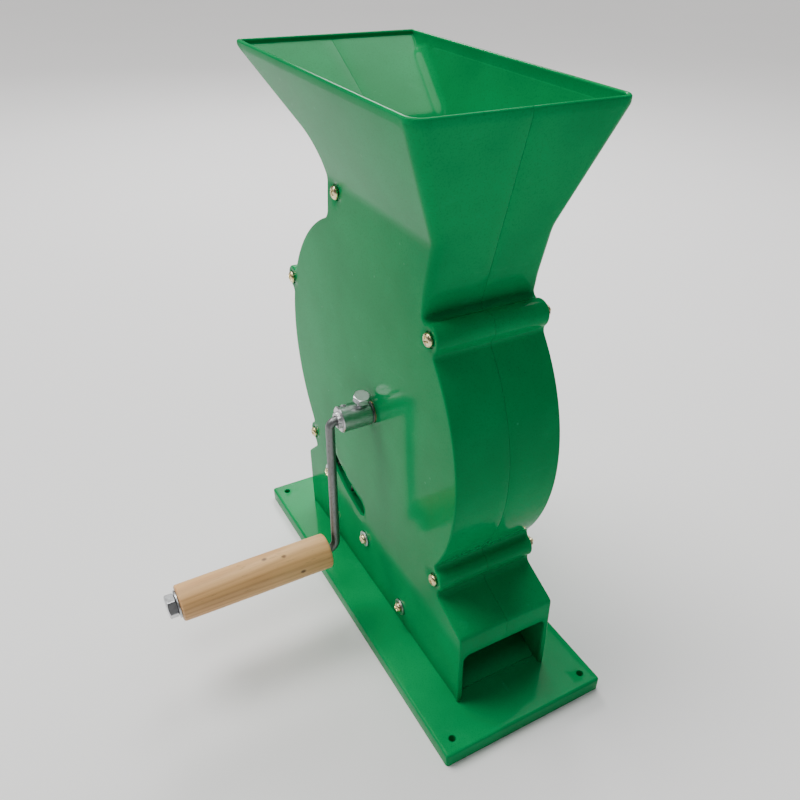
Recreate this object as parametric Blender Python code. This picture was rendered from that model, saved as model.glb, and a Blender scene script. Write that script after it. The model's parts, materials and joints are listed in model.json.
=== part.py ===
# Hand-cranked corn sheller: two moulded housing halves on a base plate, a toothed rotor
# that rubs the ears against a slotted concave, and a chute that leads the kernels out.
# Metres, +Z up, +X towards the outlet, -Y towards the crank. The origin is the middle
# of the base plate's underside.

import math

import bmesh
import bpy
from mathutils import Matrix, Vector

MM = 0.001
GAP = 0.3 * MM                      # clearance between pieces that touch
RUNNING = 0.15 * MM                 # clearance round the shaft in its bushes

# Base plate
PLATE_LENGTH = 360 * MM
PLATE_WIDTH = 145 * MM
PLATE_THICK = 13.3 * MM
PLATE_EDGE = 2 * MM                 # rounding of its upper edges
CORNER_INSET_X = 12 * MM            # corner hole to the plate's end
CORNER_INSET_Y = 11.5 * MM          # corner hole to the plate's side
CORNER_HOLE = 2.75 * MM

# Housing
HALF_WIDTH = 41.5 * MM              # from the parting plane to the outer face
WALL = 3 * MM
DRUM_X = -9.7 * MM
DRUM_Z = 205.9 * MM
DRUM_RADIUS = 136.7 * MM
FOOT_LEFT = -142 * MM
FOOT_RIGHT = 143.5 * MM
FOOT_LEAN = 1.5 * MM                # how far each foot wall leans in at its top
SHOULDER_LEFT = 78 * MM
SHOULDER_RIGHT = 86 * MM
SLANT_LEFT = 41.8                   # degrees above horizontal
SLANT_RIGHT = 23.8
NECK_LEFT = -56 * MM                # hopper neck, where it leaves the drum
NECK_LEAN = 7.6                     # degrees from vertical
FLOOR_SLOPE = 29.0                  # degrees, the hopper's shallow floor
RIM_LEFT = -131.4 * MM
RIM_RIGHT = 116.3 * MM
RIM_Z = 436 * MM
END_LEAN = 17.2                     # degrees from vertical, the hopper's end wall
RIM_BAND = 4.5 * MM                 # upright band round the rim
FLARE_Z = 363 * MM                  # from here to the band the two faces lean outwards
RIM_HALF_WIDTH = 69 * MM
LOBE = 9.3 * MM                     # radius of the screw lobes
LOBE_BLEND = 5 * MM
NECK_BLEND = 12 * MM
CROOK_BLEND = 20 * MM
SHOULDER_ROUND = 4.5 * MM
BEND_STEP = math.radians(5)         # facet angle on the large arcs
BLEND_STEP = math.radians(24)       # facet angle on small blends

# Screws that clamp the two halves: one in the neck, and the lobes, each at an angle round
# the drum's centre and a distance outside the drum
NECK_SCREW_IN = 15.4 * MM           # from the neck's left wall
NECK_SCREW_DOWN = 79.7 * MM         # below the rim
LOBE_PLACES = {
    "upper_right": (45.23, 4.16 * MM),
    "upper_left": (158.26, 3.69 * MM),
    "lower_left": (220.37, 7.81 * MM),
    "lower_right": (320.96, 8.26 * MM),
}
CLAMP_SHANK = 2.4 * MM
CLAMP_HEAD = 4.7 * MM
CLAMP_HEAD_HIGH = 3.3 * MM
HEAD_RIM = 0.35                     # share of a head's height that is its rim
HEAD_CROWN = 50                     # degrees, where its dome ends
SCREW_POINT = 0.6                   # radius and length of a screw's end, in shanks
NUT_ACROSS = 8 * MM
NUT_THICK = 4 * MM
NECK_BOSS = 7 * MM

# Outlet and arc slot
OUTLET_SIDE = 1 * MM                # wall left beside it
OUTLET_TOP = 66 * MM
OUTLET_ROUND = 6 * MM
SLOT_IN = 19.2 * MM                 # from the drum's radius to the slot's middle
SLOT_WIDTH = 17 * MM
SLOT_FROM = 231.8                   # degrees round the drum's centre
SLOT_TO = 262.0

# Chute: a plate under the drum, on lugs that side screws hold
CHUTE_SLOPE = 0.375
CHUTE_END_X = 137 * MM              # where its upper face meets the base plate
CHUTE_THICK = 3 * MM
CHUTE_NOSE = 0.8 * MM               # blunt lower edge
LUG_HALF = 7 * MM
LUG_DEPTH = 11 * MM
CHUTE_SCREWS = {"upper": -89.4 * MM, "middle": -17.7 * MM, "lower": 48.8 * MM}
CHUTE_SCREW_DROP = 12.9 * MM        # screws below the chute's upper face
BLOCK_SCREW = (-85.7 * MM, 33.2 * MM)
BLOCK_HALF = 9 * MM
SIDE_SHANK = 2.2 * MM
SIDE_HEAD = 4.4 * MM
SIDE_HEAD_HIGH = 3 * MM
SIDE_REACH = 10 * MM                # side screw into its lug
WASHER = 7.4 * MM
WASHER_THICK = 1.2 * MM

# Screws up through the base plate into the housing's feet
FOOT_SCREWS_X = (-125 * MM, 70 * MM)
FOOT_SCREW_IN = 8.5 * MM            # from the faces' inner sides
FOOT_BOSS = 7 * MM
FOOT_BOSS_HIGH = 14 * MM
FOOT_SHANK = 2.2 * MM
FOOT_HEAD = 4.6 * MM
FOOT_HEAD_DEEP = 2.6 * MM

# Shaft, bushes and rotor
SHAFT_X = 2.8 * MM
SHAFT_Z = 205.7 * MM
SHAFT_RADIUS = 6 * MM
SHAFT_TAIL = 2.9 * MM               # what stands out behind its clip
BUSH_WALL = 3 * MM
BUSH_FLANGE = 13 * MM
BUSH_FLANGE_THICK = 1.5 * MM
BEARING_BOSS = 17 * MM
BEARING_BOSS_IN = 2.1 * MM          # boss height inside the wall
THRUST_OVER = 0.05 * MM             # washer past the hole that its bush stands in
THRUST_THICK = 1 * MM
CLIP_THICK = 1.2 * MM
CLIP_RADIUS = 10 * MM
CLIP_GROOVE = 0.8 * MM
CLIP_OPENING = 70                   # degrees
DISC_THICK = 3 * MM
DISC_SPACE = 1.6 * MM               # rotor disc to bush flange
BAR_IN = 44.7 * MM                  # from the drum's radius to the bars' teeth
BAR_DEEP = 12 * MM
BAR_WIDTH = 16 * MM
BAR_OVERHANG = 1 * MM               # bar past the disc at each end
BAR_COUNT = 4
TOOTH_COUNT = 8
TOOTH_DEEP = 4 * MM
TOOTH_TOP = (0.35, 0.65)            # where its flat top lies in the pitch
HUB_RADIUS = 20 * MM
HUB_SCREW = 2.4 * MM
DISC_WINDOW = 15 * MM
DISC_WINDOW_AT = 0.625              # of the bars' inner radius

# Concave: an arc of slotted sheet under the rotor, concentric with the drum
CONCAVE_IN = 23.2 * MM              # from the drum's radius to its inner face
CONCAVE_THICK = 3 * MM
CONCAVE_RIB = 9.5 * MM              # height of the cross ribs under the sheet
FLANGE_PLAY = 2.7 * MM              # from its end flanges to the drum's wall
CONCAVE_SIDE = 0.6 * MM             # clearance to the housing's faces
CONCAVE_FROM = 210                  # degrees
CONCAVE_TO = 330
CONCAVE_BAYS = 9
RIB_THICK = 3 * MM
CONCAVE_BAR = 2.6 * MM              # material between two windows
CONCAVE_EDGE = 4.5 * MM             # material along its two sides
LEDGE_LENGTH = 8 * MM
LEDGE_HIGH = 6.7 * MM               # from the drum's wall

# Crank
COLLAR_RADIUS = 10 * MM
COLLAR_LENGTH = 24.4 * MM
COLLAR_CHAMFER = 0.8 * MM
COLLAR_NOSE = 6.5 * MM              # weld ring where the rod leaves the collar
COLLAR_NOSE_LENGTH = 2.5 * MM
SHAFT_IN_COLLAR = 16.5 * MM
BOLT_FROM_FACE = 7 * MM             # clamp bolt, from the collar's inner end
BOLT_LEAN = 14.5                    # degrees past upright, opposite the arm
BOLT_SHANK = 3 * MM
BOLT_NECK = 4.5 * MM                # thread showing between collar and head
BOLT_ACROSS = 11.5 * MM
BOLT_HEAD_HIGH = 5 * MM
GRUB_FROM_END = 4.5 * MM            # grub screw, from the collar's outer end
GRUB_RADIUS = 2.3 * MM
GRUB_SUNK = 1.5 * MM
ROD_RADIUS = 3.5 * MM
CRANK_RADIUS = 124 * MM
ROD_OUT = 7.3 * MM                  # collar end to the arm's axis, at the top
ROD_SPLAY = 2.8 * MM                # how much further out the arm is at its foot
KNEE_TOP = 5 * MM                   # bend radii of the rod's axis
KNEE_BOTTOM = 8 * MM
GRIP_RADIUS = 15 * MM
GRIP_LENGTH = 122.5 * MM
GRIP_EDGE = 1.2 * MM
GRIP_PLAY = 0.5 * MM
GRIP_WASHER = 11 * MM
GRIP_WASHER_THICK = 1.5 * MM
GRIP_NUT_ACROSS = 17 * MM
GRIP_NUT_HIGH = 7 * MM

# Sizes that follow
PLATE_TOP = PLATE_THICK
FLOOR = PLATE_TOP + GAP             # underside of what stands on the base plate
INNER_HALF = HALF_WIDTH - WALL
BAND_Z = RIM_Z - RIM_BAND
FLARE = (RIM_HALF_WIDTH - HALF_WIDTH) / (BAND_Z - FLARE_Z)
FACE_OUT = HALF_WIDTH + GAP         # where pieces start that lie on the faces
OUTLET_HALF = INNER_HALF - OUTLET_SIDE
FOOT_SCREW_Y = INNER_HALF - FOOT_SCREW_IN
DRUM_TOP = DRUM_Z + DRUM_RADIUS
SLOT_RADIUS = DRUM_RADIUS - SLOT_IN
CONCAVE_INNER = DRUM_RADIUS - CONCAVE_IN
CONCAVE_FLANGE = DRUM_RADIUS - WALL - FLANGE_PLAY
LEDGE_INNER = DRUM_RADIUS - WALL - LEDGE_HIGH
BAR_OUTER = DRUM_RADIUS - BAR_IN
BAR_INNER = BAR_OUTER - BAR_DEEP
BUSH_HOLE = SHAFT_RADIUS + RUNNING + BUSH_WALL + GAP
THRUST_WASHER = BUSH_HOLE + THRUST_OVER
SHAFT_BACK = FACE_OUT + THRUST_THICK + CLIP_THICK + 2 * GAP + SHAFT_TAIL

# Colours, linear
GREEN = (0.008, 0.29, 0.088)
BLACK = (0.012, 0.012, 0.013)
STEEL = (0.48, 0.49, 0.50)
ZINC = (0.62, 0.64, 0.65)
YELLOW_ZINC = (0.62, 0.45, 0.17)
BRONZE = (0.42, 0.24, 0.09)
CAST_GREY = (0.16, 0.165, 0.17)
WOOD = (0.62, 0.38, 0.18)


# ---------------------------------------------------------------- scene helpers

def clear_scene():
    for thing in list(bpy.data.objects):
        bpy.data.objects.remove(thing, do_unlink=True)


def finish_material(name, colour, roughness, metallic=0.0):
    material = bpy.data.materials.new(name)
    material.use_nodes = True
    shader = material.node_tree.nodes["Principled BSDF"]
    shader.inputs["Base Color"].default_value = (*colour, 1)
    shader.inputs["Roughness"].default_value = roughness
    shader.inputs["Metallic"].default_value = metallic
    return material


def add(name, bm, finish, at=(0, 0, 0), turn=(0, 0, 0), parent=None):
    """Makes a named object of a bmesh, with its own material."""
    mesh = bpy.data.meshes.new(name)
    bmesh.ops.recalc_face_normals(bm, faces=bm.faces[:])
    bm.to_mesh(mesh)
    bm.free()
    mesh.shade_smooth()
    mesh.set_sharp_from_angle(angle=math.radians(35))
    mesh.materials.append(finish_material(name, *finish))
    thing = bpy.data.objects.new(name, mesh)
    bpy.context.scene.collection.objects.link(thing)
    thing.location = at
    thing.rotation_euler = turn
    thing.parent = parent
    return thing


def add_axis(name, at, parent=None):
    """An empty on a joint's axis: what turns there is parented to it."""
    axis = bpy.data.objects.new(name, None)
    bpy.context.scene.collection.objects.link(axis)
    axis.location = at
    axis.parent = parent
    return axis


def combine(thing, operation, name, bm):
    """Cuts or joins a shape, given in the object's own coordinates, with a live Boolean."""
    mesh = bpy.data.meshes.new(name)
    bmesh.ops.recalc_face_normals(bm, faces=bm.faces[:])
    bm.to_mesh(mesh)
    bm.free()
    tool = bpy.data.objects.new(name, mesh)
    bpy.context.scene.collection.objects.link(tool)
    tool.parent = thing
    tool.hide_render = True
    tool.display_type = "WIRE"
    boolean = thing.modifiers.new(name, "BOOLEAN")
    boolean.operation = operation
    boolean.solver = "EXACT"
    boolean.object = tool


# ---------------------------------------------------------------- solid shapes

def prism(points, along):
    """A closed outline of 3-D points, carried along a vector."""
    bm = bmesh.new()
    face = bm.faces.new([bm.verts.new(p) for p in points])
    made = bmesh.ops.extrude_face_region(bm, geom=[face])
    far = [v for v in made["geom"] if isinstance(v, bmesh.types.BMVert)]
    bmesh.ops.translate(bm, verts=far, vec=Vector(along))
    bmesh.ops.recalc_face_normals(bm, faces=bm.faces[:])
    return bm


def slab(outline, near, far):
    """A front-view outline (x, z), solid from y = near to y = far."""
    return prism([(x, near, z) for x, z in outline], (0, far - near, 0))


def box(low, high):
    x0, y0, z0 = low
    x1, y1, z1 = high
    return prism([(x0, y0, z0), (x1, y0, z0), (x1, y1, z0), (x0, y1, z0)], (0, 0, z1 - z0))


def turned(profile, segments, ring=False):
    """A (radius, height) profile spun about Z. A ring's profile is a closed loop."""
    bm = bmesh.new()
    verts = [bm.verts.new((radius, 0, height)) for radius, height in profile]
    pairs = list(zip(verts, verts[1:]))
    if ring:
        pairs.append((verts[-1], verts[0]))
    edges = [bm.edges.new(pair) for pair in pairs]
    bmesh.ops.spin(
        bm, geom=verts + edges, cent=(0, 0, 0), axis=(0, 0, 1), angle=2 * math.pi,
        steps=segments, use_merge=True,
    )
    bmesh.ops.remove_doubles(bm, verts=bm.verts[:], dist=1e-6)
    bmesh.ops.recalc_face_normals(bm, faces=bm.faces[:])
    return bm


def rod(radius, low, high, segments=16, chamfer=0.0):
    return turned(
        [(0, low), (radius - chamfer, low), (radius, low + chamfer),
         (radius, high - chamfer), (radius - chamfer, high), (0, high)]
        if chamfer else [(0, low), (radius, low), (radius, high), (0, high)],
        segments,
    )


def annulus(inner, outer, low, high, segments=16):
    return turned([(inner, low), (outer, low), (outer, high), (inner, high)], segments, ring=True)


def circle(radius, count, phase=0.0):
    return [
        (radius * math.cos(phase + 2 * math.pi * i / count),
         radius * math.sin(phase + 2 * math.pi * i / count))
        for i in range(count)
    ]


def hexagon(across):
    return circle(across / math.sqrt(3), 6)


def hex_ring(across, inner, low, high):
    """A hexagon with a round hole: twelve points round each loop, bridged."""
    corners = hexagon(across)
    outer = []
    for i, (x, y) in enumerate(corners):
        next_x, next_y = corners[(i + 1) % 6]
        outer += [(x, y), ((x + next_x) / 2, (y + next_y) / 2)]
    loops = [(outer, low), (outer, high), (circle(inner, 12), high), (circle(inner, 12), low)]
    bm = bmesh.new()
    rings = [[bm.verts.new((x, y, z)) for x, y in points] for points, z in loops]
    for ring, following in zip(rings, rings[1:] + rings[:1]):
        for i in range(12):
            j = (i + 1) % 12
            bm.faces.new((ring[i], ring[j], following[j], following[i]))
    return bm


def join(*shapes):
    """One bmesh that holds several separate closed shapes."""
    bm = bmesh.new()
    for shape in shapes:
        mesh = bpy.data.meshes.new("shape")
        shape.to_mesh(mesh)
        shape.free()
        bm.from_mesh(mesh)
        bpy.data.meshes.remove(mesh)
    return bm


def moved(bm, matrix):
    bmesh.ops.transform(bm, matrix=matrix, verts=bm.verts[:])
    return bm


TO_FRONT = Matrix.Rotation(math.pi / 2, 4, "X")      # a shape's +Z turned to -Y
TO_BACK = Matrix.Rotation(-math.pi / 2, 4, "X")
TURN_FRONT = (math.pi / 2, 0, 0)
TURN_BACK = (-math.pi / 2, 0, 0)


def cross_hole(radius, x, z, near, far, segments=16):
    """A round cutter along Y."""
    shape = moved(rod(radius, min(near, far), max(near, far), segments), TO_BACK)
    return moved(shape, Matrix.Translation((x, 0, z)))


# ---------------------------------------------------------------- outlines
# An outline runs clockwise in the front view, so the body is on its right. It is a loop of
# straight and round stretches, and each corner between two of them has a blend radius. A
# notch turns left, a shoulder turns right, which also says which crossing is meant.

def straight(start, angle):
    """A line through a point, travelling at an angle in degrees from +X towards +Z."""
    heading = math.radians(angle)
    return {"through": Vector(start), "heading": Vector((math.cos(heading), math.sin(heading)))}


def round_stretch(centre, radius):
    """A circle travelled clockwise."""
    return {"centre": Vector(centre), "radius": radius}


def shifted(stretch, outwards):
    if "centre" in stretch:
        return {"centre": stretch["centre"], "radius": stretch["radius"] + outwards}
    heading = stretch["heading"]
    left = Vector((-heading.y, heading.x))
    return {"through": stretch["through"] + left * outwards, "heading": heading}


def heading_at(stretch, point):
    if "heading" in stretch:
        return stretch["heading"]
    arm = (point - stretch["centre"]).normalized()
    return Vector((arm.y, -arm.x))


def foot_on(stretch, point):
    """The nearest point of a stretch."""
    if "centre" in stretch:
        return stretch["centre"] + (point - stretch["centre"]).normalized() * stretch["radius"]
    along = (point - stretch["through"]).dot(stretch["heading"])
    return stretch["through"] + stretch["heading"] * along


def crossings(a, b):
    if "centre" in b and "centre" not in a:
        return crossings(b, a)
    if "centre" not in a:
        cross = a["heading"].cross(b["heading"])
        along = (b["through"] - a["through"]).cross(b["heading"]) / cross
        return [a["through"] + a["heading"] * along]
    if "centre" in b:
        arm = b["centre"] - a["centre"]
        reach = (a["radius"] ** 2 - b["radius"] ** 2 + arm.length_squared) / (2 * arm.length)
        base = a["centre"] + arm.normalized() * reach
        side = Vector((-arm.y, arm.x)).normalized()
        half = math.sqrt(max(a["radius"] ** 2 - reach ** 2, 0.0))
    else:
        base = foot_on(b, a["centre"])
        side = b["heading"]
        half = math.sqrt(max(a["radius"] ** 2 - (base - a["centre"]).length_squared, 0.0))
    return [base + side * half, base - side * half]


def blend(a, b, corner, radius):
    """Tangent point on a, blend centre, tangent point on b."""
    sign = 1 if corner == "notch" else -1
    inner_a, inner_b = shifted(a, sign * radius), shifted(b, sign * radius)
    centre = max(
        crossings(inner_a, inner_b),
        key=lambda p: sign * heading_at(a, foot_on(a, p)).cross(heading_at(b, foot_on(b, p))),
    )
    return foot_on(a, centre), centre, foot_on(b, centre)


def arc_points(centre, start, end, clockwise, step):
    """Points after start, up to and with end."""
    a, b = start - centre, end - centre
    first, last = math.atan2(a.y, a.x), math.atan2(b.y, b.x)
    sweep = (first - last) % (2 * math.pi) if clockwise else (last - first) % (2 * math.pi)
    count = max(1, math.ceil(sweep / step - 1e-6))
    way = -1 if clockwise else 1
    return [
        centre + a.length * Vector((math.cos(first + way * sweep * i / count),
                                    math.sin(first + way * sweep * i / count)))
        for i in range(1, count + 1)
    ]


def outline(stretches, corners):
    """Corner i lies between stretch i and the next one. Returns (x, z) points."""
    blends = [
        blend(a, b, *corner)
        for a, b, corner in zip(stretches, stretches[1:] + stretches[:1], corners)
    ]
    points = []
    before = blends[-1][2]
    for stretch, (corner, radius), (start, centre, end) in zip(stretches, corners, blends):
        if "centre" in stretch:
            points += arc_points(stretch["centre"], before, start, True, BEND_STEP if
                                 stretch["radius"] > 2 * LOBE else BLEND_STEP)
        else:
            points.append(start)
        if radius > 0:
            points += arc_points(centre, start, end, corner == "shoulder", BLEND_STEP)
        before = end
    return [(p.x, p.y) for p in points]


# ---------------------------------------------------------------- housing

def drum():
    return round_stretch((DRUM_X, DRUM_Z), DRUM_RADIUS)


def foot_and_hopper_lines():
    """The straight stretches of the housing's outline, in order of travel."""
    lean_left = math.degrees(math.atan2(SHOULDER_LEFT, FOOT_LEAN))
    lean_right = math.degrees(math.atan2(SHOULDER_RIGHT, FOOT_LEAN))
    return {
        "foot_left": straight((FOOT_LEFT, FLOOR), lean_left),
        "slant_left": straight((FOOT_LEFT + FOOT_LEAN, SHOULDER_LEFT), SLANT_LEFT),
        "neck": straight((NECK_LEFT, DRUM_TOP), 90 - NECK_LEAN),
        "hopper_floor": straight((RIM_LEFT, BAND_Z), 180 - FLOOR_SLOPE),
        "band_left": straight((RIM_LEFT, BAND_Z), 90),
        "rim": straight((RIM_LEFT, RIM_Z), 0),
        "band_right": straight((RIM_RIGHT, BAND_Z), -90),
        "hopper_end": straight((RIM_RIGHT, BAND_Z), -90 - END_LEAN),
        "slant_right": straight((FOOT_RIGHT - FOOT_LEAN, SHOULDER_RIGHT), -SLANT_RIGHT),
        "foot_right": straight((FOOT_RIGHT, FLOOR), -lean_right),
        "underside": straight((FOOT_RIGHT, FLOOR), 180),
    }


def outer_outline():
    lines = foot_and_hopper_lines()
    lobe = {name: round_stretch(centre, LOBE) for name, centre in lobe_places().items()}
    lobe_notch = ("notch", LOBE_BLEND)
    loop = [
        (lines["foot_left"], ("shoulder", SHOULDER_ROUND)),
        (lines["slant_left"], lobe_notch),
        (lobe["lower_left"], lobe_notch),
        (drum(), lobe_notch),
        (lobe["upper_left"], lobe_notch),
        (drum(), ("notch", NECK_BLEND)),
        (lines["neck"], ("notch", CROOK_BLEND)),
        (lines["hopper_floor"], ("shoulder", 0)),
        (lines["band_left"], ("shoulder", 0)),
        (lines["rim"], ("shoulder", 0)),
        (lines["band_right"], ("shoulder", 0)),
        (lines["hopper_end"], ("notch", LOBE_BLEND / 2)),
        (lobe["upper_right"], lobe_notch),
        (drum(), lobe_notch),
        (lobe["lower_right"], lobe_notch),
        (lines["slant_right"], ("shoulder", SHOULDER_ROUND)),
        (lines["foot_right"], ("shoulder", 0)),
        (lines["underside"], ("shoulder", 0)),
    ]
    return outline([stretch for stretch, _ in loop], [corner for _, corner in loop])


def cavity_outline():
    """The outline a wall's thickness further in, without lobes, open at top and bottom."""
    inner = {name: shifted(line, -WALL) for name, line in foot_and_hopper_lines().items()}
    chamber = shifted(drum(), -WALL)
    past = 4 * WALL
    loop = [
        (inner["foot_left"], ("shoulder", SHOULDER_ROUND - WALL)),
        (inner["slant_left"], ("notch", 0)),
        (chamber, ("notch", NECK_BLEND + WALL)),
        (inner["neck"], ("notch", CROOK_BLEND + WALL)),
        (inner["hopper_floor"], ("shoulder", 0)),
        (inner["band_left"], ("shoulder", 0)),
        (straight((RIM_LEFT, RIM_Z + past), 0), ("shoulder", 0)),
        (inner["band_right"], ("shoulder", 0)),
        (inner["hopper_end"], ("notch", 0)),
        (chamber, ("notch", 0)),
        (inner["slant_right"], ("shoulder", SHOULDER_ROUND - WALL)),
        (inner["foot_right"], ("shoulder", 0)),
        (straight((FOOT_RIGHT, FLOOR - past), 180), ("shoulder", 0)),
    ]
    return outline([stretch for stretch, _ in loop], [corner for _, corner in loop])


def face_at(height, inset=0.0):
    """Half width of the housing at a height: upright, then flared, then the rim's band."""
    lean = inset * math.sqrt(1 + FLARE ** 2) if height > FLARE_Z else inset
    rise = min(max(height, FLARE_Z), BAND_Z) - FLARE_Z
    return HALF_WIDTH + rise * FLARE - lean


def flared_slab(points, side, inset, start):
    """An outline solid from y = start out to the face on one side (-1 is the crank side)."""
    bm = bmesh.new()
    bm.faces.new([bm.verts.new((x, start, z)) for x, z in points])
    for height in (FLARE_Z, BAND_Z):
        bmesh.ops.bisect_plane(
            bm, geom=bm.verts[:] + bm.edges[:] + bm.faces[:],
            plane_co=(0, 0, height), plane_no=(0, 0, 1),
        )
    made = bmesh.ops.extrude_face_region(bm, geom=bm.faces[:])
    for vert in made["geom"]:
        if isinstance(vert, bmesh.types.BMVert):
            vert.co.y = side * face_at(vert.co.z, inset)
    bmesh.ops.recalc_face_normals(bm, faces=bm.faces[:])
    return bm


def drum_sector(inner, outer, first, last):
    """Front-view outline of a ring sector about the drum's centre, angles in degrees."""
    count = max(1, round((last - first) / 4))
    angles = [math.radians(first + (last - first) * i / count) for i in range(count + 1)]
    there = [(DRUM_X + outer * math.cos(a), DRUM_Z + outer * math.sin(a)) for a in angles]
    back = [(DRUM_X + inner * math.cos(a), DRUM_Z + inner * math.sin(a)) for a in angles[::-1]]
    return there + back


def degrees_at(length, radius):
    return math.degrees(length / radius)


def slot_outline():
    """Two concentric arcs with round ends."""
    first, last = math.radians(SLOT_FROM), math.radians(SLOT_TO)
    half = SLOT_WIDTH / 2
    points = []
    for angle, way in ((last, 1), (first, -1)):
        cap_x = DRUM_X + SLOT_RADIUS * math.cos(angle)
        cap_z = DRUM_Z + SLOT_RADIUS * math.sin(angle)
        start = angle if way == 1 else angle + math.pi
        for i in range(9):
            around = start + math.pi * i / 8
            points.append((cap_x + half * math.cos(around), cap_z + half * math.sin(around)))
        radius = SLOT_RADIUS - way * half
        arc = [first + (last - first) * i / 10 for i in range(1, 10)]
        for a in arc[::-way]:
            points.append((DRUM_X + radius * math.cos(a), DRUM_Z + radius * math.sin(a)))
    return points


def outlet_cutter():
    """The outlet's mouth through the right foot wall, with rounded upper corners."""
    profile = [(-OUTLET_HALF, FLOOR - WALL)]
    for centre, start in ((-OUTLET_HALF + OUTLET_ROUND, 180), (OUTLET_HALF - OUTLET_ROUND, 90)):
        for i in range(5):
            angle = math.radians(start - 22.5 * i)
            profile.append((centre + OUTLET_ROUND * math.cos(angle),
                            OUTLET_TOP - OUTLET_ROUND + OUTLET_ROUND * math.sin(angle)))
    profile.append((OUTLET_HALF, FLOOR - WALL))
    inside = FOOT_RIGHT - 4 * WALL
    return prism([(inside, y, z) for y, z in profile], (8 * WALL, 0, 0))


def ledges(side):
    """Stops inside the drum wall that the concave's end flanges rest on."""
    flange = degrees_at(RIB_THICK, CONCAVE_INNER) + degrees_at(GAP, CONCAVE_INNER)
    length = degrees_at(LEDGE_LENGTH, DRUM_RADIUS)
    left = (CONCAVE_FROM + flange, CONCAVE_FROM + flange + length)
    right = (CONCAVE_TO - flange - length, CONCAVE_TO - flange)
    outer = DRUM_RADIUS - WALL / 2
    near, far = side * (INNER_HALF + WALL / 2), side * GAP / 2
    return [slab(drum_sector(LEDGE_INNER, outer, *span), near, far) for span in (left, right)]


def foot_bosses(side):
    """Blocks inside the feet that the base screws go up into."""
    shapes = []
    for x in FOOT_SCREWS_X:
        near, far = side * (FOOT_SCREW_Y - FOOT_BOSS), side * (INNER_HALF + WALL / 2)
        low = (x - FOOT_BOSS, min(near, far), FLOOR)
        high = (x + FOOT_BOSS, max(near, far), FLOOR + FOOT_BOSS_HIGH)
        shapes.append(box(low, high))
    return shapes


def neck_boss(side):
    """A pillar round the neck screw, joined to the neck wall by a web."""
    x, z = neck_screw_place()
    near, far = side * (INNER_HALF + WALL / 2), side * GAP / 2
    pillar = circle(NECK_BOSS, 16)
    shape = slab([(x + px, z + pz) for px, pz in pillar], near, far)
    web_start = x - NECK_SCREW_IN + WALL / 2
    web = slab(
        [(web_start, z - WALL), (x, z - WALL), (x, z + WALL), (web_start, z + WALL)],
        near - side * GAP / 2, far + side * GAP,
    )
    return shape, web


def side_screw_places():
    """The four screws through each face: three for the chute, one for the foot block."""
    places = {
        name: (x, chute_height(x) - CHUTE_SCREW_DROP)
        for name, x in CHUTE_SCREWS.items()
    }
    places["block"] = BLOCK_SCREW
    return places


def neck_screw_place():
    z = RIM_Z - NECK_SCREW_DOWN
    wall_x = NECK_LEFT + (z - DRUM_TOP) * math.tan(math.radians(NECK_LEAN))
    return wall_x + NECK_SCREW_IN, z


def lobe_places():
    places = {}
    for name, (angle, standing_out) in LOBE_PLACES.items():
        radius, around = DRUM_RADIUS + standing_out, math.radians(angle)
        places[name] = (DRUM_X + radius * math.cos(around), DRUM_Z + radius * math.sin(around))
    return places


def clamp_screw_places():
    return {"neck": neck_screw_place(), **lobe_places()}


def housing_holes(side):
    near, far = -side * GAP * 4, side * (HALF_WIDTH + WALL)
    shapes = [
        cross_hole(CLAMP_SHANK + GAP, x, z, near, far)
        for x, z in clamp_screw_places().values()
    ]
    inside = side * (INNER_HALF - WALL)
    shapes += [
        cross_hole(SIDE_SHANK + GAP, x, z, inside, far)
        for x, z in side_screw_places().values()
    ]
    shapes.append(cross_hole(BUSH_HOLE, SHAFT_X, SHAFT_Z, inside, far, 24))
    for x in FOOT_SCREWS_X:
        hole = rod(FOOT_SHANK + GAP, FLOOR - WALL, foot_screw_top() + GAP)
        shapes.append(moved(hole, Matrix.Translation((x, side * FOOT_SCREW_Y, 0))))
    return shapes


def foot_screw_top():
    return FLOOR + FOOT_BOSS_HIGH - WALL


def make_housing(name, side):
    parting = side * GAP / 2
    shell = add(name, flared_slab(outer_outline(), side, 0.0, parting), (GREEN, 0.25))
    cavity = flared_slab(cavity_outline(), side, WALL, -side * WALL)
    combine(shell, "DIFFERENCE", name + "_cavity", cavity)
    boss = moved(rod(BEARING_BOSS, INNER_HALF - BEARING_BOSS_IN, INNER_HALF + WALL / 2, 24),
                 TO_FRONT if side < 0 else TO_BACK)
    moved(boss, Matrix.Translation((SHAFT_X, 0, SHAFT_Z)))
    pillar, web = neck_boss(side)
    combine(shell, "UNION", name + "_inner_web", web)
    combine(shell, "UNION", name + "_bosses", join(pillar, boss, *ledges(side), *foot_bosses(side)))
    openings = housing_holes(side)
    openings.append(outlet_cutter())
    if side < 0:
        face = side * HALF_WIDTH
        openings.append(slab(slot_outline(), face - WALL, face + 2 * WALL))
    combine(shell, "DIFFERENCE", name + "_openings", join(*openings))


# ---------------------------------------------------------------- base, chute, block

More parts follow.
